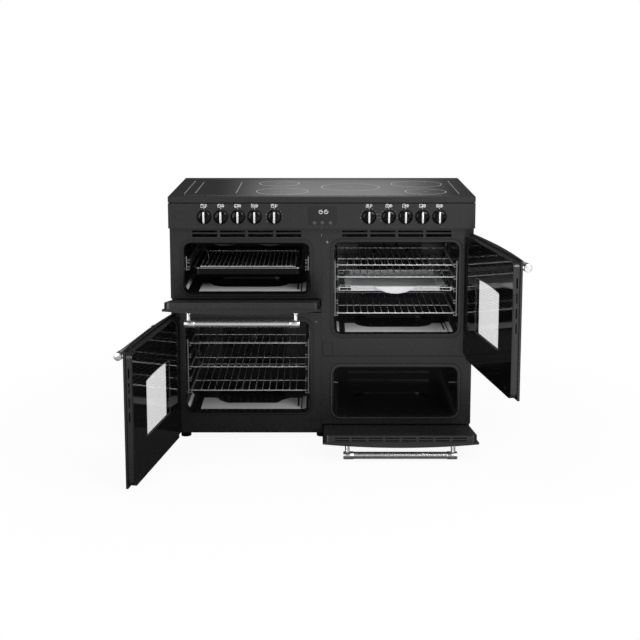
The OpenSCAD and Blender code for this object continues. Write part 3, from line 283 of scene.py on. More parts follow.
def slow_wall_highlights(tree, x, y, z):
    """Painted highlights along the foot of the slow oven's back wall and the lower edge of its
    pressed middle.
    """
    floor = OVENS["slow"][1]
    lines = [band(tree, z, floor + lo, floor + hi, 0.002) for lo, hi in SLOW_WALL_HIGHLIGHTS]
    wall = times(tree, remap(tree, y, *SLOW_WALL_HIGHLIGHTS_Y, 0.0, 1.0),
                 band(tree, x, *SLOW_WALL_HIGHLIGHTS_X, 0.012))
    return times(tree, calc(tree, "MAXIMUM", *lines), wall)


def slow_seal_highlight(tree, x, y, z):
    """The slow oven's mouth seal, lightened as a painted highlight."""
    return times(tree, remap(tree, x, *SLOW_SEAL_X, 0.0, 1.0),
                 remap(tree, z, *SLOW_SEAL_Z, 1.0, 0.0))


# Brightness behind a clear pane, and its refraction, which sets how much it mirrors
CLEARNESS = 0.985
PANE_IOR = 1.30


def clear_glass(name):
    """A thin clear pane that also mirrors on its outer faces."""
    m, tree, bsdf = new_material(name)
    tree.nodes.remove(bsdf)
    through = tree.nodes.new("ShaderNodeBsdfTransparent")
    through.inputs["Color"].default_value = (CLEARNESS,) * 3 + (1,)
    gloss = tree.nodes.new("ShaderNodeBsdfGlossy")
    uneven = remap(tree, noise(tree, 14.0), 0.3, 0.7, 0.01, 0.03, "LINEAR")
    link(tree, uneven, gloss.inputs["Roughness"])
    fresnel = tree.nodes.new("ShaderNodeFresnel")
    fresnel.inputs["IOR"].default_value = PANE_IOR
    side = tree.nodes.new("ShaderNodeNewGeometry")
    outer = calc(tree, "SUBTRACT", 1.0, side.outputs["Backfacing"])
    mirror = times(tree, fresnel.outputs[0], outer)
    mix = mixed_shader(tree, mirror, through.outputs[0], gloss.outputs[0])
    link(tree, mix, tree.nodes["Material Output"].inputs["Surface"])
    return m


def glow(name, color, strength):
    """A finish that also shines by itself."""
    m = surface(name, color, 0.4)
    settings(m.node_tree.nodes["Principled BSDF"],
             {"Emission Color": (*color, 1), "Emission Strength": strength})
    return m


LINER = (0.0035, 0.0035, 0.0038)
M = {
    "enamel": surface("enamel_black", (0.0095, 0.0095, 0.0100), 0.30, bump=0.02),
    "skin": surface("door_enamel", (0.0075, 0.0075, 0.0080), 0.28, bump=0.02),
    "inner": surface("door_inner_enamel", (0.010, 0.010, 0.0105), 0.30, bump=0.02),
    "liner": surface("liner_enamel", LINER, 0.20),
    "pan": surface("pan_enamel", (0.006, 0.006, 0.0062), 0.24, spec=0.15),
    # Light metal on the grill pan's rim: a painted highlight on the black pan
    "pan_rim": surface("pan_rim", (0.42, 0.42, 0.42), 0.30, metal=0.9),
    "cover": surface("fan_cover_enamel", (0.003, 0.003, 0.0032), 0.34, spec=0.22),
    "zinc": surface("zinc_steel", (0.42, 0.43, 0.44), 0.42, metal=1.0, stretch=(1, 1, 14)),
    "wire": surface("rack_wire", (0.84, 0.84, 0.84), 0.30, metal=0.85),
    "rack": surface("rack_steel", (0.36, 0.36, 0.36), 0.34, metal=0.85),
    "handle": surface("handle_steel", (0.80, 0.80, 0.80), 0.26, metal=0.95, stretch=(1, 14, 14)),
    "grip": surface("knob_steel", (0.90, 0.90, 0.91), 0.38, metal=1.0, stretch=(14, 14, 1)),
    "element": surface("element_steel", (0.05, 0.048, 0.045), 0.5, metal=0.6),
    "seal": surface("seal_rubber", (0.0085, 0.0085, 0.0088), 0.36),
    "glass": surface("black_glass", (0.004, 0.004, 0.0045), 0.06, vary=0.01, grain=20),
    "coil": surface("coil_copper", (0.5, 0.26, 0.13), 0.4, metal=1.0),
    "switch": surface("switch_plastic", (0.42, 0.36, 0.27), 0.6),
    "plastic": surface("black_plastic", (0.002, 0.002, 0.002), 0.12, vary=0.02, spec=0.15),
    "lamp": surface("lamp_glass", (0.45, 0.43, 0.38), 0.12),
    "tray": surface("tray_aluminium", (0.72, 0.73, 0.74), 0.42, metal=0.35),
    "print": surface("printed_white", (0.85, 0.85, 0.85), 0.45),
    "print_dim": surface("printed_grey", (0.10, 0.10, 0.10), 0.30),
    "line": surface("seam_black", (0.0015, 0.0015, 0.0015), 0.6, spec=0.1),
    "hob_print": surface("hob_print", (0.42, 0.42, 0.42), 0.20, vary=0.02),
    # Grey metal for the hob's front strip: partly its ground glass edge, partly a painted
    # highlight
    "edge": surface("ground_edge", (0.30, 0.30, 0.31), 0.30, metal=1.0),
    "plate": surface("catch_plate", (0.035, 0.035, 0.036), 0.35, metal=0.3),
    "screw": surface("screw_steel", (0.30, 0.30, 0.31), 0.35, metal=1.0),
    "dark_screw": surface("dark_screw", (0.020, 0.020, 0.021), 0.40, metal=0.5),
    "digit": glow("display_light", (0.55, 0.58, 0.60), 0.35),
    "clear": clear_glass("window_glass"),
}

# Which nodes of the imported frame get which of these
PAINT = {
    "enamel": ["side_panels", "left_front", "right_front", "control_fascia", "hob_frame"],
    "zinc": ["back_panel", "base_tray", "fan_motors", "hinge_brackets"],
    "cover": ["fan_covers"],
    "seal": ["door_seals"],
    "glass": ["display_glass", "hob_glass", "main_door_glass", "tall_door_glass"],
    "coil": ["induction_coils"],
    "rack": ["shelf_runners"],
    "wire": ["grill_trivet", "main_shelf_low", "main_shelf_mid", "main_shelf_high",
             "tall_shelf_low", "tray_shelf", "tall_shelf_mid", "tall_shelf_high"],
    "element": ["heating_elements", "main_fan", "tall_fan"],
    "switch": ["knob_switches"],
    "plastic": ["adjustable_feet", "cable_inlet"] + ["knob_%d" % i for i in range(1, 11)],
    "lamp": ["oven_lamps"],
    "skin": [door + "_skin" for door in DOORS],
    "inner": ["grill_door_pan", "slow_door_pan", "main_door_frame", "tall_door_frame"],
    "handle": [door + "_handle" for door in DOORS],
    "pan": ["grill_pan"],
    "tray": ["baking_tray"],
}


def put_in_scene(obj):
    bpy.context.scene.collection.objects.link(obj)


def smooth(obj, angle=32):
    for p in obj.data.polygons:
        p.use_smooth = True
    obj.data.set_sharp_from_angle(angle=math.radians(angle))


def paint(obj, mat):
    obj.data.materials.clear()
    obj.data.materials.append(mat)
    smooth(obj)


def soften(obj, width, segments):
    """Rounds a piece's edges, so that they catch the light."""
    b = obj.modifiers.new("edges", "BEVEL")
    b.width = width
    b.segments = segments
    b.limit_method = "ANGLE"
    b.angle_limit = math.radians(40)
    b.harden_normals = True


for key, names in PAINT.items():
    for n in names:
        paint(NODES[n], M[key])
# The grill, main and tall ovens' liners get painted light on the front of their floors and painted
# highlights at the feet of their walls
for oven in PAINTED_FLOOR_LIGHT:
    n = oven + "_liner"
    m = surface(n + "_enamel", LINER, 0.20)
    paint(NODES[n], lightened(m, painted_oven_floor_light(oven), PAINTED_FLOOR_LIGHT_SHADE))
# The slow oven's liner, a shade lighter than the others, gets painted highlights on its back wall
m = surface("slow_liner_enamel", (0.0050, 0.0050, 0.0053), 0.22)
paint(NODES["slow_liner"], lightened(m, slow_wall_highlights, SLOW_WALL_HIGHLIGHT_SHADE))
# A painted highlight on the slow oven's part of the shared seal rubber
lightened(M["seal"], slow_seal_highlight, SLOW_SEAL_HIGHLIGHT_SHADE)


# -------------------- pieces

def opened(door):
    """Turns what is drawn on the closed door to where the door stands."""
    j = JOINTS[door + "_hinge"]
    pos = Vector(j["pos_m"])
    turn = Matrix.Rotation(-math.radians(j["range_deg"][0]), 4, Vector(j["axis"]))
    return Matrix.Translation(pos) @ turn @ Matrix.Translation(-pos)


class Form:
    """Collects the faces of one piece."""

    def __init__(self):
        self.verts = []
        self.faces = []

    def rings(self, loops, caps=True):
        """Joins loops of equally many points, one after the other."""
        base = len(self.verts)
        n = len(loops[0])
        for loop in loops:
            self.verts += [Vector(p) for p in loop]
        for k in range(len(loops) - 1):
            a = base + k * n
            for i in range(n):
                j = (i + 1) % n
                self.faces.append((a + i, a + j, a + n + j, a + n + i))
        if caps:
            last = base + (len(loops) - 1) * n
            self.faces.append(tuple(range(base + n - 1, base - 1, -1)))
            self.faces.append(tuple(range(last, last + n)))

    def lathe(self, profile, origin, axis, segments=48):
        """profile holds (distance along the axis, radius) pairs."""
        axis = Vector(axis).normalized()
        side = axis.orthogonal().normalized()
        up = axis.cross(side)
        loops = []
        for t, r in profile:
            centre = Vector(origin) + axis * t
            loops.append([centre + (side * math.cos(a) + up * math.sin(a)) * max(r, 1e-6)
                          for a in [2 * math.pi * i / segments for i in range(segments)]])
        self.rings(loops)

    def stack(self, outline, steps, to_3d, caps=True):
        """Joins an outline's copies at (height, distance inward); to_3d places a point."""
        self.rings([[to_3d(p[0], p[1], h) for p in inset(outline, d)] for h, d in steps], caps)

    def slab(self, outline, lift, edge, to_3d):
        """A flat slab with eased edges between the two heights of lift."""
        lo, hi = lift
        self.stack(outline, ((lo, edge), (lo + edge, 0.0), (hi - edge, 0.0), (hi, edge)), to_3d)
        return self

    def make(self, name, mat, body, slot, angle=32):
        """The mesh piece, which rides on a body; a door's are drawn on the closed door."""
        mesh = bpy.data.meshes.new(name)
        mesh.from_pydata([tuple(v) for v in self.verts], [], self.faces)
        if body in DOORS:
            mesh.transform(opened(body))
        mesh.validate()
        bm = bmesh.new()
        bm.from_mesh(mesh)
        bmesh.ops.recalc_face_normals(bm, faces=bm.faces)
        bm.to_mesh(mesh)
        bm.free()
        o = bpy.data.objects.new(name, mesh)
        put_in_scene(o)
        mesh.materials.append(mat)
        smooth(o, angle)
        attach(o, body)
        return o


def inset(outline, d):
    """Moves each point of a closed outline (counter-clockwise) inward by d."""
    if not d:
        return list(outline)
    out = []
    n = len(outline)
    for i in range(n):
        a, b, c = Vector(outline[i - 1]), Vector(outline[i]), Vector(outline[(i + 1) % n])
        u, v = (b - a), (c - b)
        if u.length < 1e-9 or v.length < 1e-9:
            out.append(tuple(b))
            continue
        u.normalize()
        v.normalize()
        nu, nv = Vector((-u.y, u.x)), Vector((-v.y, v.x))
        m = nu + nv
        m = nu if m.length < 1e-6 else m.normalized()
        out.append(tuple(b + m * (d / max(m.dot(nu), 0.4))))
    return out


def rect(x0, z0, x1, z1):
    return [(x0, z0), (x1, z0), (x1, z1), (x0, z1)]


def arc(cx, cz, r, start, end, steps):
    """Points on a circle from one angle in degrees to another."""
    angles = [math.radians(start + (end - start) * i / steps) for i in range(steps + 1)]
    return [(cx + r * math.cos(a), cz + r * math.sin(a)) for a in angles]


def round_rect(x0, z0, x1, z1, r, steps=8):
    pts = []
    left, right, low, high = x0 + r, x1 - r, z0 + r, z1 - r
    for cx, cz, start in ((right, low, -90), (right, high, 0), (left, high, 90), (left, low, 180)):
        pts += arc(cx, cz, r, start, start + 90, steps)
    return pts


def stadium(cx, cz, width, height):
    """An upright bar with round ends."""
    r = width / 2
    return (arc(cx, cz + (height / 2 - r), r, 0, 180, 12)
            + arc(cx, cz + (r - height / 2), r, 180, 360, 12))


# Each of these places a point of a flat drawing

def front(x, z, y):
    return Vector((x, y, z))


def top(x, y, z):
    return Vector((x, y, z))


def ahead_of(y):
    """Places drawings on an upright face that looks to the front."""
    return lambda x, z, h: Vector((x, y - h, z))


on_front, on_fascia, on_display = ahead_of(0.0), ahead_of(FASCIA_Y), ahead_of(DISPLAY[0][1])


def on_hob(x, depth, h):
    return Vector((x, HOB_FRONT + depth, HOB_TOP - INK + h))


# -------------------- doors

# Door handles: radius of the bar and its collars, the collars' length, half the
# bar's length, its plane, how far it is below the door's upper edge; the posts'
# radius and distance from its middle
BAR_R = 0.0125
COLLAR_R = 0.014
COLLAR_L = 0.036
BAR_HALF = 0.200
BAR_Y = -0.078
BAR_DOWN = 0.040
POST_R = 0.008
POST_X = 0.186


def make_handle(door):
    side, _, hi = DOORS[door]
    form = Form()
    end, inner = -BAR_HALF, -BAR_HALF + COLLAR_L
    half = [(end, 0.0), (end, COLLAR_R - 0.002), (end + 0.0006, COLLAR_R - 0.0007),
            (end + 0.002, COLLAR_R), (inner - 0.0012, COLLAR_R),
            (inner - 0.0003, COLLAR_R - 0.0005), (inner, COLLAR_R - 0.0012),
            (inner + 0.0001, BAR_R - 0.0005), (inner + 0.0008, BAR_R - 0.0005),
            (inner + 0.0012, BAR_R)]
    profile = half + [(-t, r) for t, r in reversed(half)]
    z = hi - BAR_DOWN
    form.lathe(profile, (side * DOOR_MID, BAR_Y, z), (1, 0, 0), 64)
    for s in (-1, 1):
        x = side * DOOR_MID + s * POST_X
        skin = DOOR_OUT - BOW * (1 - (POST_X / DOOR_HALF) ** 2) - BAR_Y
        form.lathe([(0.0, POST_R - 0.001), (0.001, POST_R), (skin - 0.0046, POST_R),
                    (skin - 0.0040, POST_R + 0.0022), (skin - 0.0032, POST_R + 0.003),
                    (skin + 0.0006, POST_R + 0.003), (skin + 0.0006, POST_R - 0.0002),
                    (DOOR_OUT - BAR_Y - 0.002, POST_R - 0.0002)],
                   (x, BAR_Y, z), (0, 1, 0), 40)
    o = form.make(door + "_bar", M["handle"], door, "handle_steel", 30)
    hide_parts(door + "_handle")


# Windows of the side-hinged doors, in the inner glass and in the outer skin: half
# width, height above the door's lower edge, height at the corners, rise of the arch
CLEAR = (0.1285, 0.137, 0.187, 0.0066)
OPENING = (0.200, 0.093, 0.226, 0.016)
# How far the outer pane reaches past its opening, its inner plane; the panes'
# thickness and the rounding of the inner one's edges
OPENING_LAP = 0.012
PANE_BACK = DOOR_OUT + 0.003
GLASS_T = 0.004
PANE_EDGE = 0.0005


def window_outline(side, lo, window, grow=0.0):
    """An arched window, seen from the front, counter-clockwise."""
    half, up, height, rise = window
    steps = 32
    half += grow
    z0 = lo + up - grow
    z1 = z0 + height + rise + 2 * grow
    r = (half * half + rise ** 2) / (2 * rise)
    a = math.asin(half / r)
    cx = side * DOOR_MID
    pts = [(cx - half, z0), (cx + half, z0)]
    for i in range(steps + 1):
        t = a - 2 * a * i / steps
        pts.append((cx + r * math.sin(t), z1 - r + r * math.cos(t)))
    return pts


def resample(outline, count):
    """The same closed outline with evenly spread points."""
    pts = [Vector(p) for p in outline] + [Vector(outline[0])]
    lengths = [(b - a).length for a, b in zip(pts, pts[1:])]
    total = sum(lengths)
    out = []
    k, done = 0, 0.0
    for i in range(count):
        want = total * i / count
        while k < len(lengths) - 1 and done + lengths[k] < want:
            done += lengths[k]
            k += 1
        f = (want - done) / max(lengths[k], 1e-9)
        out.append(pts[k].lerp(pts[k + 1], f))
    return out


# Notches of the inner glass beside the hinge arms, and its corners' radius
NOTCH = (0.034, 0.017)
GLASS_R = 0.020


def glass_outline(side, lo, hi):
    """Inner glass: rounded corners on the free side, square notches for the hinge arms."""
    x_free = DOOR_MID - DOOR_HALF + FRAME_INSET
    x_hinge = DOOR_MID + DOOR_HALF - FRAME_INSET
    r = GLASS_R
    z0, z1 = lo + FRAME_INSET, hi - FRAME_INSET
    w, h = x_hinge + FRAME_INSET - NOTCH[0], NOTCH[1] - FRAME_INSET
    quarter = [(r * math.sin(math.radians(a)), r * math.cos(math.radians(a)))
               for a in range(0, 91, 10)]
    pts = [(x_free + r - across, z0 + r - along) for across, along in reversed(quarter)]
    pts += [(w, z0), (w, z0 + h), (x_hinge, z0 + h), (x_hinge, z1 - h), (w, z1 - h), (w, z1)]
    pts += [(x_free + r - across, z1 - r + along) for across, along in quarter]
    if side < 0:
        pts = [(-x, z) for x, z in reversed(pts)]
    return pts


def inner_pane(door, outline, hole):
    """The inner glass, by filling a curve between its outline and its clear window's."""
    name = door + "_inner_glass"
    data = bpy.data.curves.new(name, "CURVE")
    data.dimensions = "2D"
    data.fill_mode = "BOTH"
    data.extrude = GLASS_T / 2 - PANE_EDGE
    data.bevel_depth = PANE_EDGE
    data.bevel_resolution = 1
    data.offset = -PANE_EDGE
    for loop in (outline, hole):
        spline = data.splines.new("POLY")
        spline.points.add(len(loop) - 1)
        for p, q in zip(spline.points, loop):
            p.co = (q[0], q[1], 0, 1)
        spline.use_cyclic_u = True
    curve = bpy.data.objects.new(name + "_curve", data)
    put_in_scene(curve)
    bpy.context.view_layer.update()
    shape = curve.evaluated_get(bpy.context.evaluated_depsgraph_get())
    mesh = bpy.data.meshes.new_from_object(shape)
    bpy.data.objects.remove(curve)
    up = Matrix.Translation((0, DOOR_IN - GLASS_T / 2, 0)) @ Matrix.Rotation(math.pi / 2, 4, "X")
    mesh.transform(opened(door) @ up)
    mesh.name = name
    o = bpy.data.objects.new(name, mesh)
    put_in_scene(o)
    paint(o, M["glass"])
    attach(o, door)
    return o


# The printed line round the clear window: its distance from and to, its thickness
WINDOW_LINE = (0.0010, 0.0035)
WINDOW_LINE_T = 0.0001
# Screws inside the doors with glass and the drop-down doors: distance from the
# door's middle, from its lower edge and from its upper edge
GLASS_SCREWS = (0.215, 0.030, 0.040)
INNER_SCREWS = (0.219, 0.095, 0.055)


def door_screws(door, name, places, edge, deep, r_face, r):
    """Four screws with eased heads on a door's inner face."""
    side, lo, hi = DOORS[door]
    across, up, down = places
    form = Form()
    for dx in (-across, across):
        for z in (lo + up, hi - down):
            form.lathe([(0.0, 0.0), (0.0, r_face), (edge, r), (deep, r), (deep, 0.0)],
                       (side * DOOR_MID + dx, DOOR_IN + deep, z), (0, -1, 0), 20)
    form.make(door + name, M["dark_screw"], door, "zinc_steel")


def make_door_glass(door):
    """The inner glass with its clear window, screws and line, and the outer pane."""
    side, lo, hi = DOORS[door]
    inner = inner_pane(door, glass_outline(side, lo, hi), window_outline(side, lo, CLEAR))
    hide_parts(door + "_glass")
    light = Form().slab(window_outline(side, lo, CLEAR, -0.0001), (DOOR_IN - GLASS_T, DOOR_IN),
                        0.0003, front)
    light.make(door + "_inner_window", M["clear"], door, "black_glass")
    outer = Form().slab(window_outline(side, lo, OPENING, OPENING_LAP),
                        (PANE_BACK - GLASS_T, PANE_BACK), 0.0004, front)
    outer.make(door + "_outer_window", M["clear"], door, "black_glass")
    door_screws(door, "_glass_screws", GLASS_SCREWS, 0.0006, 0.0014, 0.0038, 0.0046)
    line = Form()
    near, far = (resample(window_outline(side, lo, CLEAR, grow), 96) for grow in WINDOW_LINE)
    y = DOOR_IN + 0.0002
    section = ((far, y - WINDOW_LINE_T), (far, y), (near, y), (near, y - WINDOW_LINE_T))
    line.rings([[front(p.x, p.y, h) for p in loop] for loop, h in section], False)
    line.make(door + "_window_print", M["print_dim"], door, "black_glass")


# Pressed rim on a drop-down door's inner face: half its length, its distance from
# the door's lower and upper edges, corner radius, width, how far it starts inside
INNER_RIM = (0.212, 0.080, 0.045, 0.022, 0.007, 0.0005)


def make_drop_door_details(door):
    """Screws and a pressed rim on the inner face of a drop-down door."""
    side, lo, hi = DOORS[door]
    door_screws(door, "_inner_screws", INNER_SCREWS, 0.0008, 0.0016, 0.0034, 0.0044)
    half, up, down, r, width, sunk = INNER_RIM
    outline = round_rect(side * DOOR_MID - half, lo + up, side * DOOR_MID + half, hi - down, r, 6)
    rim = Form()
    rim.stack(outline, ((DOOR_IN - sunk, 0.0), (DOOR_IN + 0.0012, 0.002),
                        (DOOR_IN + 0.0012, width - 0.002), (DOOR_IN - sunk, width)), front, False)
    rim.make(door + "_inner_rim", M["inner"], door, "door_enamel", 50)


# -------------------- knobs

# Knobs: height, rear plane, radius, the disc's and the dome's thickness, the grip
# bar's width and length, the spindle's radius
KNOB_Z = 0.838
KNOB_REAR = FASCIA_Y - 0.0006
KNOB_R = 0.0262
DISC_T = 0.0028
DOME_H = 0.0080
GRIP_W = 0.0072
GRIP_L = 0.0415
SPINDLE_R = 0.0030


def make_knob(i):
    body = "knob_%d" % i
    lo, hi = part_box(body)
    x = (lo[0] + hi[0]) / 2
    spindle_end = hi[1] - KNOB_REAR
    form = Form()
    profile = [(spindle_end, 0.0), (spindle_end, SPINDLE_R - 0.0004),
               (spindle_end - 0.0004, SPINDLE_R), (0.0, SPINDLE_R), (0.0, KNOB_R - 0.0006),
               (-0.0005, KNOB_R), (0.0006 - DISC_T, KNOB_R), (0.0001 - DISC_T, KNOB_R - 0.0005),
               (-DISC_T, KNOB_R - 0.0014)]
    for a in range(0, 90, 6):
        a = math.radians(a)
        profile.append((-DISC_T - DOME_H * math.sin(a) ** 0.9, (KNOB_R - 0.0016) * math.cos(a)))
    profile.append((-DISC_T - DOME_H, 0.0))
    form.lathe(profile, (x, KNOB_REAR, KNOB_Z), (0, 1, 0), 64)
    base = form.make(body + "_base", M["plastic"], body, "black_plastic", 30)
    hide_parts(body)
    bar_y = lo[1]
    outline = stadium(x, KNOB_Z, GRIP_W, GRIP_L)
    bar = Form()
    bar.stack(outline, ((KNOB_REAR - 0.0020, 0.0), (bar_y + 0.0042, 0.0006),
                        (bar_y + 0.0036, 0.0012)), front)
    bar.make(body + "_bar", M["plastic"], body, "black_plastic", 40)
    cap = Form()
    cap.stack(outline, [(bar_y + t, d) for t, d in
                        ((0.0037, 0.0010), (0.0034, 0.0003), (0.0030, 0.0001),
                         (0.0009, 0.0001), (0.0003, 0.0005), (0.0, 0.0012))], front)
    cap.make(body + "_grip", M["grip"], body, "handle_steel", 40)
    mark = Form()
    mark.slab(rect(x - 0.0006, KNOB_Z + 0.0236, x + 0.0006, KNOB_Z + 0.0246),
              (KNOB_REAR - 0.0033, KNOB_REAR - 0.0020), 0.0001, front)
    mark.make(body + "_mark", M["print"], body, "black_plastic", 40)
    return x


# -------------------- printed signs

# Thickness of what is printed
INK = 0.00012


class Signs:
    """Thin printed strokes on the fascia or the hob."""

    def __init__(self, place):
        self.form = Form()
        self.place = place

    def fill(self, loop):
        self.form.rings([[self.place(x, z, h) for x, z in loop] for h in (0.0, INK)])

    def stroke(self, a, b, w):
        a, b = Vector(a), Vector(b)
        d = (b - a).normalized() * (w / 2)
        n = Vector((-d.y, d.x))
        self.fill([a - d - n, b + d - n, b + d + n, a - d + n])

    def outline(self, pts, w):
        for a, b in zip(pts, pts[1:] + pts[:1]):
            self.stroke(a, b, w)

    def dot(self, x, z, r):
        self.fill(arc(x, z, r, 0, 360, 16)[:-1])

    def ring(self, x, z, r, w, start=0, end=360, steps=64):
        full = end - start >= 360
        n = max(int(steps * (end - start) / 360), 3)
        inner, outer = (arc(x, z, radius, start, end, n) for radius in (r - w / 2, r + w / 2))
        if full:
            inner, outer = inner[:-1], outer[:-1]
            section = ((outer, 0.0), (outer, INK), (inner, INK), (inner, 0.0))
            self.form.rings([[self.place(*p, h) for p in loop] for loop, h in section], False)
            return
        for k in range(n):
            self.fill((inner[k], inner[k + 1], outer[k + 1], outer[k]))

    def make(self, name, mat, slot):
        return self.form.make(name, mat, "cooker", slot, 60)


# The fascia's signs: their height and half their size, the hob's zones in shares of
# it, which zone each knob sets, the fan oven's knob, the knobs with a scale of
# dots, and the scale's radius
SIGN_Z = 0.8777
SIGN_H = 0.0056
ZONE_PLAN = ((-0.27, 0.42), (-0.27, -0.42), (0.0, 0.0), (0.27, 0.42), (0.27, -0.42))
KNOB_ZONES = {1: 0, 2: 1, 3: 2, 6: 2, 7: 3, 8: 4, 9: 2}
FAN_KNOB = 5
SCALED_KNOBS = (4, 5, 6)
SCALE_R = 0.0303


def zone_sign(s, x, z, which):
    """A plan of the hob with the zone that the knob sets filled in, and its ring."""
    x0, x1 = x - 0.0112, x - 0.0004
    s.outline(rect(x0, z - SIGN_H, x1, z + SIGN_H), 0.0010)
    for i, (dx, dz) in enumerate(ZONE_PLAN):
        s.dot((x0 + x1) / 2 + dx * (x1 - x0), z + dz * SIGN_H, 0.0017 if i == which else 0.0008)
    s.ring(x + 0.0062, z, SIGN_H - 0.0008, 0.0012, steps=32)
    s.ring(x + 0.0062, z, 0.0020, 0.0010, steps=20)


def oven_sign(s, x, z, fan):
    """An oven's outline with its fan or its upper heat, and a thermometer."""
    x0, x1 = x - 0.0112, x - 0.0012
    s.outline(rect(x0, z - SIGN_H, x1, z + SIGN_H), 0.0011)
    if fan:
        for a in (0, 60, 120):
            dx, dz = 0.0030 * math.cos(math.radians(a)), 0.0030 * math.sin(math.radians(a))
            s.stroke((x0 / 2 + x1 / 2 - dx, z - dz), (x0 / 2 + x1 / 2 + dx, z + dz), 0.0010)
    else:
        s.stroke((x0 + 0.0020, z + 0.0030), (x1 - 0.0020, z + 0.0030), 0.0018)
    s.stroke((x + 0.0045, z - 0.0020), (x + 0.0045, z + SIGN_H), 0.0016)
    s.dot(x + 0.0045, z - 0.0034, 0.0024)
    for k in range(3):
        h = z - 0.0010 + 0.0028 * k
        s.stroke((x + 0.0076, h), (x + 0.0106, h), 0.0010)


def make_fascia_signs(knob_xs):
    s = Signs(on_fascia)
    for i, x in enumerate(knob_xs):
        if i in KNOB_ZONES:
            zone_sign(s, x, SIGN_Z, KNOB_ZONES[i])
        else:
            oven_sign(s, x, SIGN_Z, i == FAN_KNOB)
        s.stroke((x, KNOB_Z + 0.0278), (x, KNOB_Z + 0.0318), 0.0010)
        if i in SCALED_KNOBS:
            for a in range(210, -30, -24):
                if a != 90:
                    a = math.radians(a)
                    s.dot(x + SCALE_R * math.cos(a), KNOB_Z + SCALE_R * math.sin(a), 0.0007)
    s.make("fascia_signs", M["print"], "black_enamel")


# The display: its middle, half its width and height, its bezel's width; its lit
# symbols' middle, distance from it and height; its touch marks
DISPLAY_MID = 0.0025
DISPLAY_Z = 0.8415
DISPLAY_HALF = (0.0495, 0.0325)
BEZEL = 0.0008
SYMBOL_MID = DISPLAY_MID + 0.004
SYMBOL_X = 0.0094
SYMBOL_Z = 0.8562
TOUCH_X = (-0.026, 0.0026, 0.0317)
TOUCH_Z = 0.8166


def make_display():
    """Two lit symbols, a clock and a timer, and three touch marks."""
    lit = Signs(on_display)
    for s in (-1, 1):
        x = SYMBOL_MID + s * SYMBOL_X
        lit.ring(x, SYMBOL_Z, 0.0066, 0.0016, 60, 390, 40)
        for dx, dz in ((0.0, 0.0044), (-s * 0.0034, 0.0020)):
            lit.stroke((x, SYMBOL_Z), (x + dx, SYMBOL_Z + dz), 0.0015)
    lit.make("display_symbols", M["digit"], "black_glass")
    faint = Signs(on_display)
    for x in TOUCH_X:
        faint.ring(x, TOUCH_Z, 0.0052, 0.0014, steps=32)
        faint.dot(x, TOUCH_Z, 0.0022)
    faint.make("display_touch_marks", M["print_dim"], "black_glass")
    edge = Form()
    w, h = (half + BEZEL for half in DISPLAY_HALF)
    outline = round_rect(DISPLAY_MID - w, DISPLAY_Z - h, DISPLAY_MID + w, DISPLAY_Z + h, 0.0035, 5)
    edge.stack(outline, ((0.0, 0.0), (0.0005, 0.0003), (0.0005, 0.0006), (0.0, BEZEL)), on_fascia,
               False)
    edge.make("display_bezel", M["seal"], "cooker", "black_plastic")


# -------------------- hob

# Printed zones: x, depth from the hob's front edge, diameter
ZONES = [(-0.165, 0.400, 0.155), (-0.146, 0.160, 0.190), (0.109, 0.287, 0.220),
         (0.367, 0.383, 0.195), (0.384, 0.152, 0.150)]
# The warming zone's two lines and the line along each side: x, then their depths
WARM_X = (-0.462, -0.313)
WARM_DEPTH = (0.110, 0.450)
SIDE_X = (-0.500, 0.500)
SIDE_DEPTH = (0.085, 0.490)
ZONE_W = 0.0040
LINE_W = 0.0030


def make_hob():
    """The glass with ground edges, a bright strip along its front that is partly the ground edge
    and partly a painted highlight, and its printed zones.
    """
    (x0, y0, z0), (x1, y1, _) = GLASS
    outline = round_rect(x0, y0, x1, y1, 0.0012, 3)
    glass = Form()
    t = HOB_TOP - INK
    glass.stack(outline, ((z0, 0.0), (t - 0.0011, 0.0), (t - 0.0003, 0.0005), (t, 0.0012)), top)
    o = glass.make("hob_top", M["glass"], "cooker", "black_glass", 20)
    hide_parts("hob_glass")
    # The bright strip along the glass's front: partly its ground edge, partly a painted highlight
    strip = Form()
    lip = round_rect(x0 + 0.0016, y0 + 0.0008, x1 - 0.0016, y0 + 0.0032, 0.0008, 3)
    strip.stack(lip, ((t - 0.0004, 0.0), (HOB_TOP, 0.0003)), top)
    strip.make("hob_front_strip", M["edge"], "cooker", "handle_steel", 20)
    s = Signs(on_hob)
    for x, d, dia in ZONES:
        s.ring(x, d, dia / 2, ZONE_W, steps=96)
        for a in (45, 135, 225, 315):
            across, along = math.cos(math.radians(a)), math.sin(math.radians(a))
            near, far = ((x + r * across, d + r * along) for r in (0.004, 0.010))
            s.stroke(near, far, 0.0012)
    for xs, (near, far) in ((WARM_X, WARM_DEPTH), (SIDE_X, SIDE_DEPTH)):
        for x in xs:
            s.stroke((x, near), (x, far), LINE_W)
    s.make("hob_zone_print", M["hob_print"], "black_glass")


# -------------------- cabinet details

def pan_head(form, centre, axis, r=0.0042):
    """A small cross-head screw: a domed head with a sunk middle."""
    form.lathe([(0.0, 0.0), (0.0, r), (0.0007, r * 0.96), (0.0014, r * 0.72), (0.0017, r * 0.42),
                (0.0011, r * 0.36), (0.0009, 0.0)], centre, axis, 20)


# Screws: their distance from the side panels' front, rear, lower and upper edges,
# and their middle row there; on the back panel; on the front
SIDE_SCREWS = (0.016, 0.016, 0.022, 0.026)
SIDE_SCREW_Z = 0.455
BACK_SCREWS_X = (-0.52, -0.26, 0.0, 0.26, 0.52)
BACK_SCREWS_EDGE = 0.020
BACK_SIDE_SCREWS = ((-0.535, 0.535), (0.26, 0.50))
FRONT_SCREWS = ((0.5435, 0.262), (0.5435, 0.150), (-0.5435, 0.262), (-0.5435, 0.150))


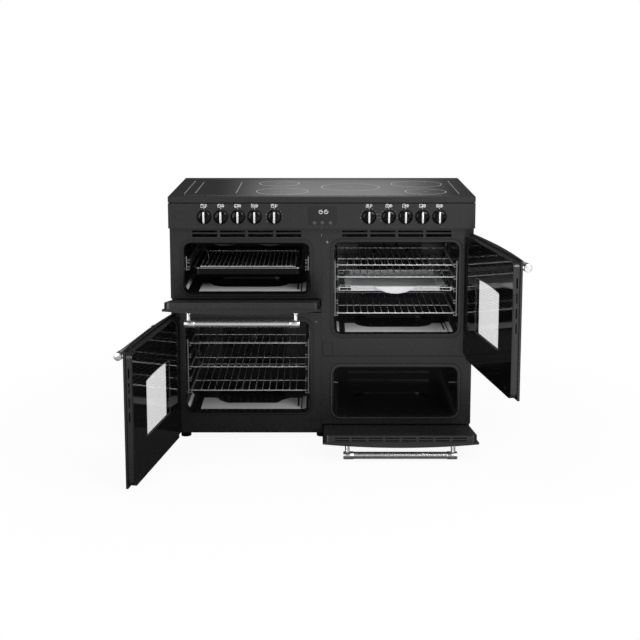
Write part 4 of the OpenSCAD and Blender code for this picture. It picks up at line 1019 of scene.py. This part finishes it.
def make_cabinet_screws():
    """Screws along the side panels, the back panel and the front."""
    lo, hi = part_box("side_panels")
    form = Form()
    fore, aft, low, high = SIDE_SCREWS
    for s in (-1, 1):
        x = s * (hi[0] - 0.0018)
        for j, y in enumerate((lo[1] + fore, (lo[1] + hi[1]) / 2, hi[1] - aft)):
            for k, z in enumerate((lo[2] + low, SIDE_SCREW_Z, hi[2] - high)):
                if (j, k) != (1, 1):
                    form.lathe([(0.0, 0.0044), (0.0006, 0.0043), (0.0012, 0.0034),
                                (0.0016, 0.0018), (0.0008, 0.0015)], (x, y, z), (s, 0, 0), 20)
    form.make("side_screws", M["screw"], "cooker", "zinc_steel")
    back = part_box("back_panel")
    places = [(x, z) for x in BACK_SCREWS_X
              for z in (back[0][2] + BACK_SCREWS_EDGE, back[1][2] - BACK_SCREWS_EDGE)]
    places += [(x, z) for z in BACK_SIDE_SCREWS[1] for x in BACK_SIDE_SCREWS[0]]
    rear = Form()
    for x, z in places:
        pan_head(rear, (x, back[1][1], z), (0, 1, 0))
    rear.make("back_screws", M["screw"], "cooker", "zinc_steel")
    face = Form()
    for x, z in FRONT_SCREWS:
        pan_head(face, (x, 0.0, z), (0, -1, 0), 0.0030)
    face.make("front_screws", M["dark_screw"], "cooker", "zinc_steel")


# Cover plates on the front: lower left corner, upper right corner; their thickness
PLATES = ((0.0040, 0.317, 0.0390, 0.366), (-0.0390, 0.034, -0.0040, 0.075))
PLATE_T = 0.0006
# Width of the drawn seams, and the one below the tall oven: its ends and height
SEAM_W = 0.0012
SEAM_X = (0.0040, 0.530)
SEAM_Z = 0.3155
# The pressed lip round each oven's mouth: its width and corner radius
MOUTH_LIP = 0.0135
MOUTH_LIP_R = 0.040
# Middles of the side-hinged doors' catch plates, half their size, and the plug
CATCHES = ((0.022, 0.738), (-0.018, 0.446))
CATCH_HALF = (0.0065, 0.005)
PLUG_AT = (0.058, 0.0, 0.778)


def make_front_plates():
    """Cover plates, seams, the mouths' lips, catch plates and a small plug."""
    plates = Form()
    seams = Signs(on_front)
    heads = Form()
    for x0, z0, x1, z1 in PLATES:
        plates.slab(round_rect(x0, z0, x1, z1, 0.002, 4), (0.0, PLATE_T), 0.0002, on_front)
        w = SEAM_W / 2
        seams.outline(rect(x0 - w, z0 - w, x1 + w, z1 + w), SEAM_W)
        pan_head(heads, ((x0 + x1) / 2, -PLATE_T, (z0 + z1) / 2), (0, -1, 0), 0.0026)
    seams.stroke((SEAM_X[0], SEAM_Z), (SEAM_X[1], SEAM_Z), 0.0016)
    for side, lo, hi in OVENS.values():
        x0, x1 = sorted((side * (OVEN_X[0] - MOUTH_LIP), side * (OVEN_X[1] + MOUTH_LIP)))
        seams.outline(round_rect(x0, lo - MOUTH_LIP, x1, hi + MOUTH_LIP, MOUTH_LIP_R, 10), SEAM_W)
    plates.make("cover_plates", M["enamel"], "cooker", "black_enamel")
    seams.make("front_seams", M["line"], "black_enamel")
    heads.make("cover_plate_screws", M["dark_screw"], "cooker", "zinc_steel")
    hooks = Form()
    w, h = CATCH_HALF
    for x, z in CATCHES:
        outline = round_rect(x - w, z - h, x + w, z + h, 0.0018, 4)
        hooks.slab(outline, (0.0, 0.0010), 0.0003, on_front)
    hooks.make("catch_plates", M["plate"], "cooker", "zinc_steel")
    cup = Form()
    cup.lathe([(0.0, 0.0046), (0.0005, 0.0043), (0.0006, 0.0034), (0.0002, 0.0028), (0.0002, 0.0)],
              PLUG_AT, (0, -1, 0), 24)
    cup.make("front_plug", M["seal"], "cooker", "black_plastic")


# Oven lamps: from the cooker's middle, below the roof; how far the lens stands out
LAMP_X = OVEN_X[0] + 0.052
LAMP_DOWN = 0.042
LENS_T = 0.006


def make_lamps():
    """Ribbed glass lenses over the oven lamps."""
    for name, (side, _, roof) in OVENS.items():
        form = Form()
        profile = [(0.0, 0.0195), (0.0002, 0.0202), (0.0012, 0.0202), (0.0014, 0.0182)]
        for k in range(6):
            r = 0.0176 - k * 0.0028
            profile += [(0.0020 + k * 0.0003, r), (0.0012 + k * 0.0003, r - 0.0014)]
        profile += [(0.0038, 0.0)]
        form.lathe(profile, (side * LAMP_X, OVEN_BACK - LENS_T, roof - LAMP_DOWN), (0, -1, 0), 48)
        form.make(name + "_lamp_lens", M["lamp"], "cooker", "lamp_glass", 50)


# Fan covers: their front plane, and their screws' distance from the middle
FAN_COVER_Y = OVEN_BACK - 0.040
FAN_SCREW = 0.108


def make_fan_details():
    """Screws and a pressed centre on the fan covers."""
    for name in ("main", "tall"):
        side, floor, roof = OVENS[name]
        z = (floor + roof) / 2
        x = side * (OVEN_X[0] + OVEN_X[1]) / 2
        form = Form()
        for dx in (-FAN_SCREW, FAN_SCREW):
            for dz in (-FAN_SCREW, FAN_SCREW):
                pan_head(form, (x + dx, FAN_COVER_Y, z + dz), (0, -1, 0), 0.0050)
        form.make(name + "_fan_cover_screws", M["screw"], "cooker", "zinc_steel")
        boss = Form()
        boss.lathe([(-0.0005, 0.0185), (0.0010, 0.0175), (0.0022, 0.0150), (0.0026, 0.0110),
                    (0.0020, 0.0)], (x, FAN_COVER_Y, z), (0, -1, 0), 40)
        boss.make(name + "_fan_cover_boss", M["liner"], "cooker", "liner_enamel", 50)


# The grill pan: its rails' width, its corners' radius; its rim's section as heights
# above its edge and distances inward
PAN_RAIL = 0.0175
PAN_R = 0.020
RIM_SECTION = ((-0.0030, 0.0), (-0.0022, -0.0006), (-0.0006, -0.0006), (0.0003, 0.0),
               (0.0003, 0.0016), (-0.0006, 0.0022), (-0.0022, 0.0022))


def make_pan_rim():
    """The rolled rim of the grill pan in light metal, a painted highlight along the black pan."""
    lo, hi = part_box("grill_pan")
    outer = round_rect(lo[0] + PAN_RAIL, lo[1], hi[0] - PAN_RAIL, hi[1], PAN_R, 8)
    form = Form()
    form.stack(outer, [(hi[2] + dz, d) for dz, d in RIM_SECTION], top, False)
    form.make("grill_pan_rim", M["pan_rim"], "grill_pan", "pan_enamel", 50)


for door in DOORS:
    make_handle(door)
for door in ("main_door", "tall_door"):
    make_door_glass(door)
for door in ("grill_door", "slow_door"):
    make_drop_door_details(door)
knob_places = [make_knob(i) for i in range(1, 11)]
make_fascia_signs(knob_places)
make_display()
make_hob()
make_cabinet_screws()
make_front_plates()
make_lamps()
make_fan_details()
make_pan_rim()

# How wide, and in how many steps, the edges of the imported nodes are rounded
ROUNDING = {
    (0.0014, 3): ["hob_frame", "control_fascia"],
    (0.0008, 2): [door + "_skin" for door in DOORS],
    (0.0005, 2): ["left_front", "right_front", "grill_door_pan", "slow_door_pan", "grill_pan",
                  "baking_tray"],
    (0.0004, 2): ["display_glass", "adjustable_feet", "cable_inlet", "base_tray"],
    (0.0026, 4): ["door_seals"],
    (0.0012, 2): [oven + "_liner" for oven in OVENS],
}
for (width, steps), names in ROUNDING.items():
    for n in names:
        soften(NODES[n], width, steps)


# -------------------- stage

# Area lights: place, what they point at, side length, watts
LIGHTS = {
    "key_light": ((2.2, -3.0, 2.6), (0.1, 0.0, 0.4), 1.8, 105),
    "fill_light": ((-2.6, -3.2, 1.6), (0.0, 0.0, 0.5), 2.0, 40),
    "top_light": ((0.0, -0.8, 3.4), (0.0, 0.2, 0.5), 2.2, 40),
    "low_left_light": ((-3.2, -3.8, 0.30), (0.0, 0.0, 0.7), 0.6, 14),
    "low_right_light": ((3.2, -3.8, 0.30), (0.0, 0.0, 0.7), 0.6, 6),
}


def area_light(name, loc, target, size, power):
    data = bpy.data.lights.new(name, "AREA")
    data.energy = power
    data.shape = "RECTANGLE"
    data.size = data.size_y = size
    o = bpy.data.objects.new(name, data)
    o.location = loc
    direction = Vector(target) - Vector(loc)
    o.rotation_mode = "QUATERNION"
    o.rotation_quaternion = direction.to_track_quat("-Z", "Y")
    put_in_scene(o)


def seen_plainly(tree):
    """1 for rays that come straight from the camera, also through clear glass."""
    ray = tree.nodes.new("ShaderNodeLightPath").outputs
    return calc(tree, "MAXIMUM", ray["Is Camera Ray"], ray["Is Transmission Ray"])


# The room in reflections, by direction: strength of the backdrop behind the cooker,
# its middle, how it fades to the sides and the top, and its darker lower rows;
# strength and reach of the light ahead of it; the dim light of the room itself
BACKDROP = 0.46
BACKDROP_MID = 0.015
BACKDROP_SIDES = (0.030, 0.105, 1.0, 0.03)
BACKDROP_TOP = (0.30, 0.55, 1.0, 0.0)
BACKDROP_ROWS = (0.112, 0.133, 0.55, 1.0)
FRONT_LIGHT = 0.55
FRONT_Y = (-0.55, -0.10, 1.0, 0.0)
FRONT_Z = (0.10, 0.75, 1.0, 0.0)
ROOM_DIFFUSE = 0.40
ROOM_GLOSSY = 0.05


def build_world():
    """White to the camera; in reflections a dim room with a lit backdrop."""
    world = bpy.data.worlds.new("studio")
    bpy.context.scene.world = world
    world.use_nodes = True
    tree = world.node_tree
    tree.nodes.clear()
    out = tree.nodes.new("ShaderNodeOutputWorld")
    x, y, z = axes(tree, "Generated")
    back = calc(tree, "GREATER_THAN", y, 0.0)
    across = calc(tree, "DIVIDE", x, y)
    spread = calc(tree, "ABSOLUTE", calc(tree, "SUBTRACT", across, BACKDROP_MID))
    rise = calc(tree, "DIVIDE", z, y)
    patch = times(tree, remap(tree, spread, *BACKDROP_SIDES), back,
                  remap(tree, rise, *BACKDROP_ROWS), remap(tree, z, *BACKDROP_TOP))
    ahead = times(tree, remap(tree, y, *FRONT_Y), remap(tree, z, *FRONT_Z))
    room = calc(tree, "ADD", times(tree, patch, BACKDROP), times(tree, ahead, FRONT_LIGHT))
    path = tree.nodes.new("ShaderNodeLightPath")
    mixed = tree.nodes.new("ShaderNodeMix")
    mixed.data_type = "FLOAT"
    link(tree, path.outputs["Is Glossy Ray"], mixed.inputs[0])
    mixed.inputs[2].default_value = ROOM_DIFFUSE
    link(tree, calc(tree, "ADD", room, ROOM_GLOSSY), mixed.inputs[3])
    soft = tree.nodes.new("ShaderNodeBackground")
    link(tree, mixed.outputs[0], soft.inputs["Strength"])
    white = tree.nodes.new("ShaderNodeBackground")
    settings(soft, {"Color": (1, 1, 1, 1)})
    settings(white, {"Color": (1, 1, 1, 1), "Strength": 1.0})
    link(tree, mixed_shader(tree, seen_plainly(tree), soft.outputs[0], white.outputs[0]),
         out.inputs["Surface"])


# The floor: half its size, how far it is below the feet, its shade, how it fades to
# white; in reflections its light from left to right, far out, and from the front
FLOOR_SIZE = 9.0
FLOOR_DOWN = 0.0005
FLOOR_SHADE = 0.80
FLOOR_FADE = (0.6, 1.9, 0.93, 1.0)
FLOOR_ACROSS = (-1.3, 1.5, 0.40, 1.25)
FLOOR_SIDES = (1.7, 2.3, 0.0, 1.0)
FLOOR_FAR = 0.75
FLOOR_AHEAD = (-1.4, -0.35, 1.0, 0.06)


def build_floor():
    """A pale floor that fades to white; in reflections it is lit from the right."""
    mesh = bpy.data.meshes.new("studio_floor")
    s = FLOOR_SIZE
    mesh.from_pydata([(x, y, 0) for x, y in rect(-s, -s, s, s)], [], [(0, 1, 2, 3)])
    floor = bpy.data.objects.new("studio_floor", mesh)
    floor.location = (0, 0, -FLOOR_DOWN)
    put_in_scene(floor)
    m, tree, bsdf = new_material("studio_floor")
    settings(bsdf, {"Base Color": (FLOOR_SHADE,) * 3 + (1,), "Roughness": 0.8})
    x, y, _ = axes(tree, "Object")
    far = calc(tree, "SQRT", calc(tree, "ADD", times(tree, x, x), times(tree, y, y)))
    fade = remap(tree, far, *FLOOR_FADE)
    path = tree.nodes.new("ShaderNodeLightPath")
    white, shine = (tree.nodes.new("ShaderNodeEmission") for _ in range(2))
    for n in (white, shine):
        settings(n, {"Color": (1, 1, 1, 1), "Strength": 1.0})
    across = remap(tree, x, *FLOOR_ACROSS)
    aside = remap(tree, calc(tree, "ABSOLUTE", x), *FLOOR_SIDES)
    across = calc(tree, "ADD", times(tree, across, calc(tree, "SUBTRACT", 1.0, aside)),
                       times(tree, aside, FLOOR_FAR))
    link(tree, times(tree, across, remap(tree, y, *FLOOR_AHEAD)), shine.inputs["Strength"])
    plain = times(tree, seen_plainly(tree), fade)
    seen = mixed_shader(tree, plain, bsdf.outputs[0], white.outputs[0])
    out = mixed_shader(tree, path.outputs["Is Glossy Ray"], seen, shine.outputs[0])
    link(tree, out, tree.nodes["Material Output"].inputs["Surface"])
    floor.data.materials.append(m)


# The camera: place, tilt below level in degrees, lens in millimetres and shift
CAMERA_AT = (0.0, -4.323, 1.474)
CAMERA_TILT = 8.776
LENS = 68.14
SHIFT = (-0.00267, -0.15)


def build_camera():
    data = bpy.data.cameras.new("camera")
    cam = bpy.data.objects.new("camera", data)
    put_in_scene(cam)
    data.sensor_width = 36.0
    data.lens = LENS
    data.shift_x, data.shift_y = SHIFT
    cam.location = CAMERA_AT
    cam.rotation_euler = (math.radians(90 - CAMERA_TILT), 0, 0)
    bpy.context.scene.camera = cam


build_world()
build_floor()
for name, light in LIGHTS.items():
    area_light(name, *light)
build_camera()
bpy.context.scene.view_settings.view_transform = "Standard"

bpy.context.view_layer.update()
